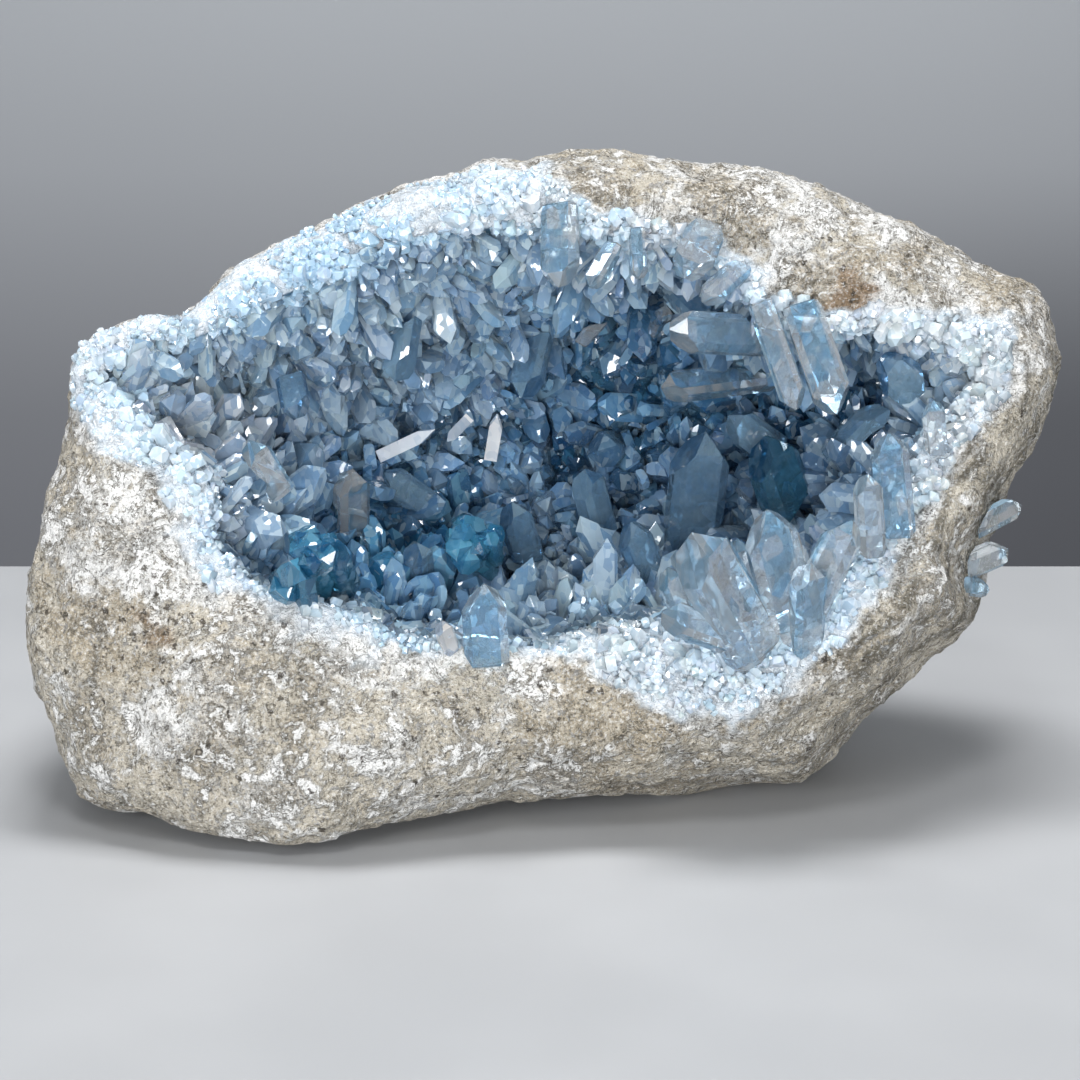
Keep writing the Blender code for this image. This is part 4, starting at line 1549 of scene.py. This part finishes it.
    def candidates(self, count: int, seed: int) -> tuple[np.ndarray, ...]:
        """Places scattered evenly over the stone's rim and hollow.

        Cells of a fine grid are drawn in proportion to their area, and a place is taken at
        random in each. Normals point into the hollow, and on the rim towards the viewer.

        Args:
            count: How many places.
            seed: Start of the random numbers.

        Returns:
            Angle, s, the point and the normal of each.
        """
        rng = np.random.default_rng(seed)
        surface = self.nodule.surface
        line = self.nodule.angles(self.columns)
        rim = np.linspace(self.outermost, 3, self.rim_steps)
        rows = np.concatenate([rim, np.linspace(3, self.innermost, self.hollow_steps)[1:]])
        angle, s = np.meshgrid(line, rows)
        points = surface(angle, s)
        down = points[1:] - points[:-1]
        across = np.roll(points, -1, axis=1) - points
        area = np.linalg.norm(np.cross(down, across[:-1]), axis=-1)
        chance = np.cumsum(area.ravel())
        pick = np.searchsorted(chance, rng.uniform(0, chance[-1], count))
        row, column = np.unravel_index(pick, area.shape)
        u, v = rng.uniform(size=count), rng.uniform(size=count)
        step = np.mod(np.roll(line, -1) - line, TURN)
        at_angle = line[column] + u * step[column]
        at_s = rows[row] + v * (rows[row + 1] - rows[row])
        here = surface(at_angle, at_s)
        slope_s = surface(at_angle, np.minimum(at_s + self.nudge, self.pole)) - here
        slope_a = surface(at_angle + self.nudge, at_s) - here
        normal = unit(np.cross(slope_a, slope_s))
        inward = surface(at_angle, np.full(count, self.pole)) - here
        facing = np.where(at_s > self.wall_from, np.einsum("ij,ij->i", normal, inward), -normal[:, 1])
        normal = normal * np.where(facing < 0, -1, 1)[:, None]
        return at_angle, at_s, here, normal

    def thin_out(self, points: np.ndarray, spacing: float, seed: int) -> np.ndarray:
        """Keeps one place in each cube.

        Args:
            points: The places.
            spacing: The cubes' side.
            seed: Start of the random numbers that shift the cubes.

        Returns:
            The kept places' numbers.
        """
        cell = np.floor(points / spacing + np.random.default_rng(seed).uniform(size=3))
        cell = cell.astype(np.int64)
        key = (cell[:, 0] * self.key_span + cell[:, 1]) * self.key_span + cell[:, 2]
        _, first = np.unique(key, return_index=True)
        return first

    def places(self, growth: Growth, rng: np.random.Generator) -> tuple[np.ndarray, ...]:
        """Where one generation's crystals stand.

        Args:
            growth: Spacing and place of the generation.
            rng: Source of the random numbers.

        Returns:
            The apparent place, s, the point and the normal of each.
        """
        angle, s, here, normal = self.candidates(self.draws, growth.seed)
        keep = self.thin_out(here, growth.spacing, growth.seed)
        angle, s, here, normal = angle[keep], s[keep], here[keep], normal[keep]
        radius, _ = self.nodule.profile(angle, s)
        x, z = radius * np.cos(angle), radius * np.sin(angle)
        edge = self.nodule.frost_edge(angle)
        ragged = self.edge.at(here) * (s < self.ragged_until)
        chance = growth.where(x, z, s + ragged, edge)
        alive = rng.uniform(size=len(s)) < chance
        return x[alive], z[alive], s[alive], here[alive], normal[alive]

    def colours(
        self, tints: np.ndarray, s: np.ndarray, crest: np.ndarray, own: np.ndarray,
        rng: np.random.Generator,
    ) -> np.ndarray:
        """Each crystal's own colour: some are greyer, and a rosette's middle is paler than its edge,
        with painted light at the middle and painted shade at the edge.

        Args:
            tints: The colours by place.
            s: Places along the profile.
            crest: How near each crystal is to its rosette's middle, from 0 to 1.
            own: Its rosette's own number.
            rng: Source of the random numbers.

        Returns:
            The colours.
        """
        count = len(s)
        inner = smooth(*self.shade_band, s)
        grey = (rng.uniform(size=count) < self.grey_chance) * smooth(*self.grey_band, s)
        tints = toward(tints, self.lilac, self.grey_share * grey)
        # Painted light at a rosette's middle, painted shade at its edge.
        tints = toward(tints, self.ice, self.middle_ice * crest * own * inner)
        shade = self.edge_shade + self.middle_shade * crest
        shade = shade * rng.uniform(*self.own_shade, count)
        shade = 1 + (shade - 1) * (1 - self.rim_evenness * (1 - inner))
        shade = shade * (1 + self.hollow_lift * smooth(*self.gloom_band, s))
        return tints * shade[:, None] * (1 + self.hue_shake * rng.normal(size=(count, 3)))

    def grow(self, growth: Growth) -> bpy.types.Object:
        """Makes one generation of crystals as a single mesh.

        Every crystal is a stretched copy of one of the habits, rooted under the surface. Its axis
        is the normal plus a lean away from its rosette's middle and a random one, and it is
        longest in the middle of its rosette.

        Args:
            growth: Sizes, spacing and place of the generation.

        Returns:
            The object.
        """
        rng = np.random.default_rng(growth.seed)
        x, z, s, here, normal = self.places(growth, rng)
        count = len(s)
        far, own, away = self.rosettes.cells(here, self.rosette)
        away = away - normal * np.einsum("ij,ij->i", away, normal)[:, None]
        wander = growth.lean * rng.normal(size=(count, 3))
        axis = unit(normal + self.fan * away + wander)
        width = rng.uniform(*growth.width, count) * (self.own_width[0] + self.own_width[1] * own)
        width *= self.rim_width[0] + self.rim_width[1] * smooth(*self.width_band, s)
        stretch = rng.uniform(*growth.stretch, count)
        crest = 1 - smooth(0.0, self.crest_reach, far)
        lift = self.dome * own * crest * smooth(*self.dome_band, s)
        side = unit(np.cross(axis, rng.normal(size=(count, 3))))
        root = here - normal * growth.sink - away * self.rosette * self.root_shift
        tints = self.colours(self.tint(x, z, s, here), s, crest, own, rng)
        kinds = rng.integers(0, len(growth.habits), count)
        reach = axis * (width * stretch * self.tip_reach + lift)[:, None]
        buried = self.named.holds(root + self.half_way * reach, 0.0)
        buried = buried | self.named.holds(root + reach, self.spare)
        kinds = np.where(buried, -1, kinds)
        length = width * stretch * np.array([h.value[1] for h in growth.habits])[kinds] + lift
        made = Crystals(root, side, axis, width, length, tints, kinds).build(
            growth.name, growth.habits, self.frosty if growth.frosty else self.finish, rng
        )
        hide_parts("crystal_crust")
        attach(made, "root")
        grown, triangles = np.count_nonzero(kinds >= 0), len(made.data.polygons)
        LOG.info("%s: %d crystals, %d triangles", growth.name, grown, triangles)
        return made


@dataclass
class GlintSplinters:
    """Thin crystals in the middle of the hollow, one to a node, coloured near white as painted glints.
    """

    finish: Finish
    eye_mm: np.ndarray
    nodes: tuple[str, ...] = ("flash_long", "flash_short", "flash_point")
    slim: float = 0.6

    def build(self) -> bpy.types.Object:
        """A sharp flat crystal along each node's longest direction, its wide side to the viewer.

        Returns:
            The object.
        """
        shape, faces = Habit.SPLINTER.solid()
        corners, triangles = [], []
        for name in self.nodes:
            made = frame["nodes"][name]
            points = np.empty(len(made.data.vertices) * 3)
            made.data.vertices.foreach_get("co", points)
            turned = np.array(made.matrix_world)
            points = (points.reshape(-1, 3) @ turned[:3, :3].T + turned[:3, 3]) / MM
            middle = (points.min(axis=0) + points.max(axis=0)) / 2
            axis = np.linalg.svd(points - middle)[2][0]
            view = middle - self.eye_mm
            thin = unit(view - axis * (view @ axis))
            side = np.cross(axis, thin)
            length = np.ptp((points - middle) @ axis)
            width = np.ptp((points - middle) @ side) * self.slim
            body = (
                middle
                + np.outer(shape[:, 0] * width, side)
                + np.outer(shape[:, 1] * width, thin)
                + np.outer((shape[:, 2] - 0.5) * length, axis)
            )
            triangles.append(faces + len(corners) * len(shape))
            corners.append(body)
        made = mesh_object(
            "painted_glint_splinters", np.concatenate(corners), np.concatenate(triangles), self.finish
        )
        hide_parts(*self.nodes)
        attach(made, "root")
        return made


@dataclass
class BlueClusters:
    """The thick blue crystals low on the left, a cluster to a node.

    Count is how many there are in each. Their axes are the viewer's direction, the upright lean
    and a random spread; reach, shift, back and thick are shares of the node's half box.
    """

    finish: Finish
    eye_mm: np.ndarray
    nodes: tuple[str, ...] = ("group_blue_left", "group_blue_middle")
    count: int = 11
    seed: int = 23
    towards_eye: float = 0.8
    upright: Place = (-0.1, 0.0, 0.75)
    spread: float = 0.55
    reach: tuple[float, float] = (0.75, 1.0)
    shift: float = 0.25
    back: float = 0.6
    thick: tuple[float, float] = (0.45, 0.8)
    habits: tuple[Habit, ...] = (Habit.BLOCK, Habit.CHISEL, Habit.PRISM)
    light: Colour = (0.08, 0.34, 0.54)
    dark: Colour = (0.02, 0.15, 0.29)

    def build(self) -> bpy.types.Object:
        """Crystals fanned out from behind the middle of each node's box, their tips inside it.

        Returns:
            The object.
        """
        rng = np.random.default_rng(self.seed)
        each = (self.count, 3)
        roots, axes, lengths, widths = [], [], [], []
        for name in self.nodes:
            low, high = (np.array(corner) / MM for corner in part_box(name))
            middle, half = (low + high) / 2, (high - low) / 2
            view = unit(self.eye_mm - middle)
            lean = self.towards_eye * view + np.array(self.upright)
            axis = unit(lean + self.spread * rng.normal(size=each))
            tip = middle + axis * half * rng.uniform(*self.reach, (self.count, 1))
            shift = rng.normal(size=each) * half * self.shift
            root = middle - view * half.mean() * self.back + shift
            roots.append(root)
            axes.append(unit(tip - root))
            lengths.append(np.linalg.norm(tip - root, axis=1))
            widths.append(rng.uniform(*self.thick, self.count) * half.mean())
        root, axis = np.concatenate(roots), np.concatenate(axes)
        width, length = np.concatenate(widths), np.concatenate(lengths)
        side = unit(np.cross(axis, rng.normal(size=axis.shape)))
        depth = rng.uniform(size=(len(axis), 1))
        tint = np.array(self.light) * depth + np.array(self.dark) * (1 - depth)
        kind = rng.integers(0, len(self.habits), len(axis))
        made = Crystals(root, side, axis, width, length, tint, kind).build(
            "blue_clusters", self.habits, self.finish, rng
        )
        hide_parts(*self.nodes)
        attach(made, "root")
        return made


def in_hollow(x: np.ndarray, z: np.ndarray, s: np.ndarray, edge: np.ndarray) -> np.ndarray:
    """Chance of a crystal over the hollow's wall."""
    return smooth(3.0, 3.1, s)


def in_big_hollow(x: np.ndarray, z: np.ndarray, s: np.ndarray, edge: np.ndarray) -> np.ndarray:
    """Chance of a large crystal: mostly at the lower left, the bottom and the right pocket."""
    likely = 0.6 + spots(x, z, (((-45, -28), 30.0, 1.0), ((60, 0), 35.0, 1.0), ((20, -30), 25.0, 1.0)))
    return smooth(3.12, 3.25, s) * np.clip(likely, 0, 1)


def on_rim(x: np.ndarray, z: np.ndarray, s: np.ndarray, edge: np.ndarray) -> np.ndarray:
    """Chance of a sugary crystal: from the frost's ragged edge to just inside the mouth."""
    return smooth(-0.08, 0.1, s - edge) * (1 - smooth(3.2, 3.4, s))


def on_inner_rim(x: np.ndarray, z: np.ndarray, s: np.ndarray, edge: np.ndarray) -> np.ndarray:
    """Chance of a middling pale crystal: near the mouth, and further in at the upper left and below.

    Args:
        x: Apparent places to the right of the mouth's middle.
        z: Apparent places above it.
        s: Places along the profile.
        edge: Where the frost begins along the profile.

    Returns:
        The chance at each place.
    """
    deep = spots(x, z, (((-45, 36), 36.0, 0.45), ((2, -36), 24.0, 0.35)))
    inner = 1 - smooth(3.3 + deep, 3.55 + deep, s)
    return smooth(0.15, 0.5, s - edge) * smooth(2.1, 2.5, s) * inner * (0.8 - 0.4 * smooth(3.1, 3.4, s))


GROWTHS = (
    Growth("druse_large", 6.8, (4.5, 8.5), (0.8, 1.2), 0.45, 3.0, in_big_hollow,
           (Habit.BLOCK, Habit.CHISEL, Habit.BLADE, Habit.PRISM), 101),
    Growth("druse_medium", 4.3, (3.0, 5.8), (1.0, 1.5), 0.5, 1.6, in_hollow,
           (Habit.BLOCK, Habit.CHISEL, Habit.PRISM, Habit.PRISM, Habit.BLADE), 202),
    Growth("druse_small", 3.3, (2.0, 3.4), (1.0, 1.6), 0.5, 0.8, in_hollow,
           (Habit.CHIP, Habit.CHISEL, Habit.PRISM), 303),
    Growth("rim_crystals", 2.9, (2.0, 4.2), (0.7, 1.2), 0.5, 0.9, on_inner_rim,
           (Habit.GRAIN, Habit.CHIP, Habit.BLOCK), 404, True),
    Growth("rim_sugar", 1.68, (1.1, 2.3), (0.8, 1.2), 0.5, 0.4, on_rim,
           (Habit.GRAIN, Habit.CHIP), 505, True),
    Growth("rim_grains", 2.3, (1.6, 3.2), (0.6, 1.1), 0.6, 0.7, on_rim,
           (Habit.GRAIN, Habit.CHIP), 606, True),
)


class Tone(Enum):
    """The finishes of the small crystals and of the prominent ones."""

    SMALL = CrystalFinish(
        "celestite_small", 0.50, (0.0, 0.05), veil=(0.78, 0.93, 0.99), milk=0.15, shard=1.5,
    )
    FROSTY = CrystalFinish(
        "celestite_frost", 0.20, (0.02, 0.14), milk=0.3, shard=1.1, shadow=(0.66, 0.76, 0.84),
        lift=(1.06, 1.05, 1.04),
    )
    THICK = CrystalFinish(
        "celestite_thick", 0.55, (0.0, 0.05), veil=(0.36, 0.66, 0.84), shard_shade_and_glint=0.3, shard=3.0,
    )
    CLEAR = CrystalFinish(
        "celestite_clear_faces", 0.86, (0.0, 0.03), (0.82, 0.94, 0.99), veil=(0.94, 0.98, 0.99),
        milk=0.4, shard_shade_and_glint=0.45, shard=3.6, tilt=0.035, shadow=(0.44, 0.66, 0.84),
        inside=(0.56, 0.80, 0.93), density=28.0,
    )
    BLUE = CrystalFinish(
        "celestite_blue_faces", 0.78, (0.0, 0.05), (0.20, 0.52, 0.74), veil=(0.55, 0.78, 0.90),
        milk=0.3, shard_shade_and_glint=0.25, shard=3.0, tilt=0.10, inside=(0.24, 0.62, 0.85), density=45.0,
    )
    DEEP = CrystalFinish(
        "celestite_deep_faces", 0.78, (0.0, 0.06), (0.06, 0.22, 0.36), veil=(0.30, 0.50, 0.64),
        milk=0.3, shard_shade_and_glint=0.2, shard=3.0, tilt=0.10, inside=(0.20, 0.50, 0.72), density=40.0,
    )
    SMOKY = CrystalFinish(
        "celestite_grey_faces", 0.70, (0.0, 0.06), (0.26, 0.46, 0.64), veil=(0.60, 0.76, 0.88),
        milk=0.3, shard_shade_and_glint=0.2, shard=3.0, tilt=0.10, inside=(0.36, 0.64, 0.82), density=80.0,
    )
    # Painted glints: a pale, mostly opaque finish for the splinters.
    PAINTED_GLINT = CrystalFinish(
        "celestite_painted_glint_faces", 0.30, (0.03, 0.10), (0.84, 0.91, 0.96),
        milk=0.2, shard_shade_and_glint=0.2, tilt=0.05,
    )
    ROSE = CrystalFinish(
        "celestite_rose_faces", 0.70, (0.04, 0.12), (0.86, 0.84, 0.86), milk=0.3, density=15.0,
    )


@dataclass
class ClearCrystals:
    """The prominent crystals, each its own node, which keep their shape and get see-through faces."""

    slots: dict[str, Tone] = field(
        default_factory=lambda: {
            "celestite_clear": Tone.CLEAR, "celestite_blue": Tone.BLUE, "celestite_smoky": Tone.SMOKY,
        }
    )
    own: dict[str, Tone] = field(
        default_factory=lambda: {
            "prism_pink_front": Tone.ROSE, "prism_mouth_top": Tone.CLEAR,
            "prism_dark_blue": Tone.DEEP,
        }
    )

    def dress(self) -> int:
        """Gives each node its own finish, or else the finish of its kind.

        Returns:
            How many were dressed.
        """
        dressed = 0
        for entry in frame["record"]["subparts"]:
            tone = self.own.get(entry["node"]) or self.slots.get(entry["material_slot"])
            if tone is None:
                continue
            mesh = frame["nodes"][entry["node"]].data
            mesh.materials.clear()
            mesh.materials.append(tone.value.material())
            dressed += 1
        return dressed


# Where it stands


@dataclass
class Table:
    """A pale table top whose far edge shows behind the stone; metres."""

    finish: Finish
    width: float = 3.2
    near: float = -1.8
    far: float = 0.208
    thickness: float = 0.03
    edge: float = 0.002

    def build(self) -> bpy.types.Object:
        """A slab with softened edges, its top at the height of the ground.

        Returns:
            The object.
        """
        shape = bmesh.new()
        bmesh.ops.create_cube(shape, size=1.0)
        for corner in shape.verts:
            corner.co.x *= self.width
            corner.co.y = self.near if corner.co.y < 0 else self.far
            corner.co.z = 0.0 if corner.co.z > 0 else -self.thickness
        bmesh.ops.bevel(shape, geom=shape.edges, offset=self.edge, segments=3, affect="EDGES")
        mesh = bpy.data.meshes.new("table")
        shape.to_mesh(mesh)
        shape.free()
        mesh.materials.append(self.finish.material())
        made = bpy.data.objects.new("table", mesh)
        bpy.context.scene.collection.objects.link(made)
        return made


@dataclass
class Wall:
    """A plain grey backdrop far behind the table; metres."""

    finish: Finish
    away: float = 1.6
    half_width: float = 3.0
    bottom: float = -1.2
    top: float = 2.2

    def build(self) -> bpy.types.Object:
        """One upright sheet, facing the viewer.

        Returns:
            The object.
        """
        corners = [
            (-self.half_width, self.away, self.bottom), (self.half_width, self.away, self.bottom),
            (self.half_width, self.away, self.top), (-self.half_width, self.away, self.top),
        ]
        mesh = bpy.data.meshes.new("backdrop")
        mesh.from_pydata(corners, [], [(0, 1, 2, 3)])
        mesh.materials.append(self.finish.material())
        made = bpy.data.objects.new("backdrop", mesh)
        bpy.context.scene.collection.objects.link(made)
        return made


@dataclass(frozen=True)
class Lamp:
    """One soft light: where it stands, where it points, its size in metres and its power in watts."""

    name: str
    place: Place
    aim: Place
    size: tuple[float, float]
    power: float

    def build(self) -> None:
        """Puts an area light in the scene."""
        data = bpy.data.lights.new(self.name, "AREA")
        data.shape = "RECTANGLE"
        data.size, data.size_y = self.size
        data.energy = self.power
        made = bpy.data.objects.new(self.name, data)
        made.location = self.place
        made.rotation_euler = (Vector(self.aim) - Vector(self.place)).to_track_quat("-Z", "Y").to_euler()
        bpy.context.scene.collection.objects.link(made)


@dataclass
class Studio:
    """The camera, the lights and the grey all round; metres, and millimetres for the camera.

    Horizon and zenith are the grey's strength at the lowest and the highest heights given, which
    run from -1 straight down to 1 straight up. Shift is given in widths of the picture.
    """

    sight: Sight
    lamps: tuple[Lamp, ...] = (
        Lamp("top_soft", (0.02, 0.16, 1.15), (0.0, 0.0, 0.07), (0.55, 0.35), 12.5),
        Lamp("front_low", (-0.05, -1.5, 0.16), (0.0, 0.0, 0.08), (1.2, 0.24), 15.0),
        Lamp("key_left", (-0.75, -1.05, 0.45), (0.0, 0.0, 0.08), (0.40, 0.40), 6.2),
        Lamp("glint_top", (0.0, -0.55, 0.95), (0.0, 0.0, 0.08), (0.20, 0.20), 2.2),
        Lamp("glint_right", (0.8, -0.8, 0.30), (0.0, 0.0, 0.08), (0.20, 0.20), 2.2),
    )
    grey: Colour = (0.94, 0.97, 1.0)
    heights: tuple[float, float] = (-0.1, 0.9)
    horizon: float = 0.14
    zenith: float = 0.28
    bounces: int = 6
    dull_bounces: int = 3
    focal_mm: float = 100.0
    film_mm: float = 36.0
    near_end: float = 0.01
    shift: tuple[float, float] = (-20 / 1080, -90 / 1080)

    def build(self) -> None:
        """Places the camera on the sight line, the lights round the stone, and the grey."""
        self.place_camera()
        for lamp in self.lamps:
            lamp.build()
        self.surround()
        bpy.context.scene.view_settings.view_transform = "Standard"
        paths = bpy.context.scene.cycles
        paths.max_bounces = self.bounces
        paths.diffuse_bounces = self.dull_bounces
        paths.glossy_bounces = self.dull_bounces
        paths.transmission_bounces = self.bounces

    def place_camera(self) -> None:
        """Puts the camera where the viewer's eye is, level and tipped down by the sight's dip."""
        data = bpy.data.cameras.new("sight_line")
        data.lens = self.focal_mm
        data.sensor_width = self.film_mm
        data.shift_x, data.shift_y = self.shift
        data.clip_start = self.near_end
        made = bpy.data.objects.new("sight_line", data)
        made.location = self.sight.eye()
        made.rotation_euler = (math.pi / 2 - self.sight.dip, 0.0, 0.0)
        bpy.context.scene.collection.objects.link(made)
        bpy.context.scene.camera = made

    def surround(self) -> None:
        """Fills the distance with grey that grows stronger from the horizon upwards."""
        world = bpy.data.worlds.new("grey_room")
        world.use_nodes = True
        tree = world.node_tree
        way = tree.nodes.new("ShaderNodeTexCoord")
        split = tree.nodes.new("ShaderNodeSeparateXYZ")
        ramp = tree.nodes.new("ShaderNodeMapRange")
        ends = (*self.heights, self.horizon, self.zenith)
        for name, value in zip(("From Min", "From Max", "To Min", "To Max"), ends):
            ramp.inputs[name].default_value = value
        tree.links.new(way.outputs["Generated"], split.inputs[0])
        tree.links.new(split.outputs["Z"], ramp.inputs["Value"])
        tree.links.new(ramp.outputs["Result"], tree.nodes["Background"].inputs["Strength"])
        tree.nodes["Background"].inputs["Color"].default_value = (*self.grey, 1.0)
        bpy.context.scene.world = world


def main() -> None:
    """Builds the stone, its crystals, and what they stand on and are lit by."""
    logging.basicConfig(level=logging.INFO, format="%(message)s")
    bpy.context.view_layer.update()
    nodule = Nodule()
    Studio(nodule.sight).build()
    LOG.info("camera and lights placed")
    Table(TableFinish()).build()
    Wall(WallFinish()).build()
    LOG.info("table and backdrop placed")
    rock = RockSkin(nodule, LimestoneFinish()).build()
    LOG.info("rock skin: %d triangles", len(rock.data.polygons))
    crystals = ClearCrystals()
    named = NamedCrystals.of_frame(tuple(crystals.slots))
    druse = Druse(nodule, Tone.SMALL.value, Tone.FROSTY.value, named)
    for growth in GROWTHS:
        druse.grow(growth)
    eye_mm = np.array(nodule.sight.eye()) / MM
    # The splinters' near-white colour is a painted glint.
    GlintSplinters(Tone.PAINTED_GLINT.value, eye_mm).build()
    LOG.info("bright splinters placed")
    BlueClusters(Tone.THICK.value, eye_mm).build()
    LOG.info("blue clusters placed")
    dressed = crystals.dress()
    LOG.info("clear crystals: %d dressed", dressed)


if __name__ == "__main__":
    main()
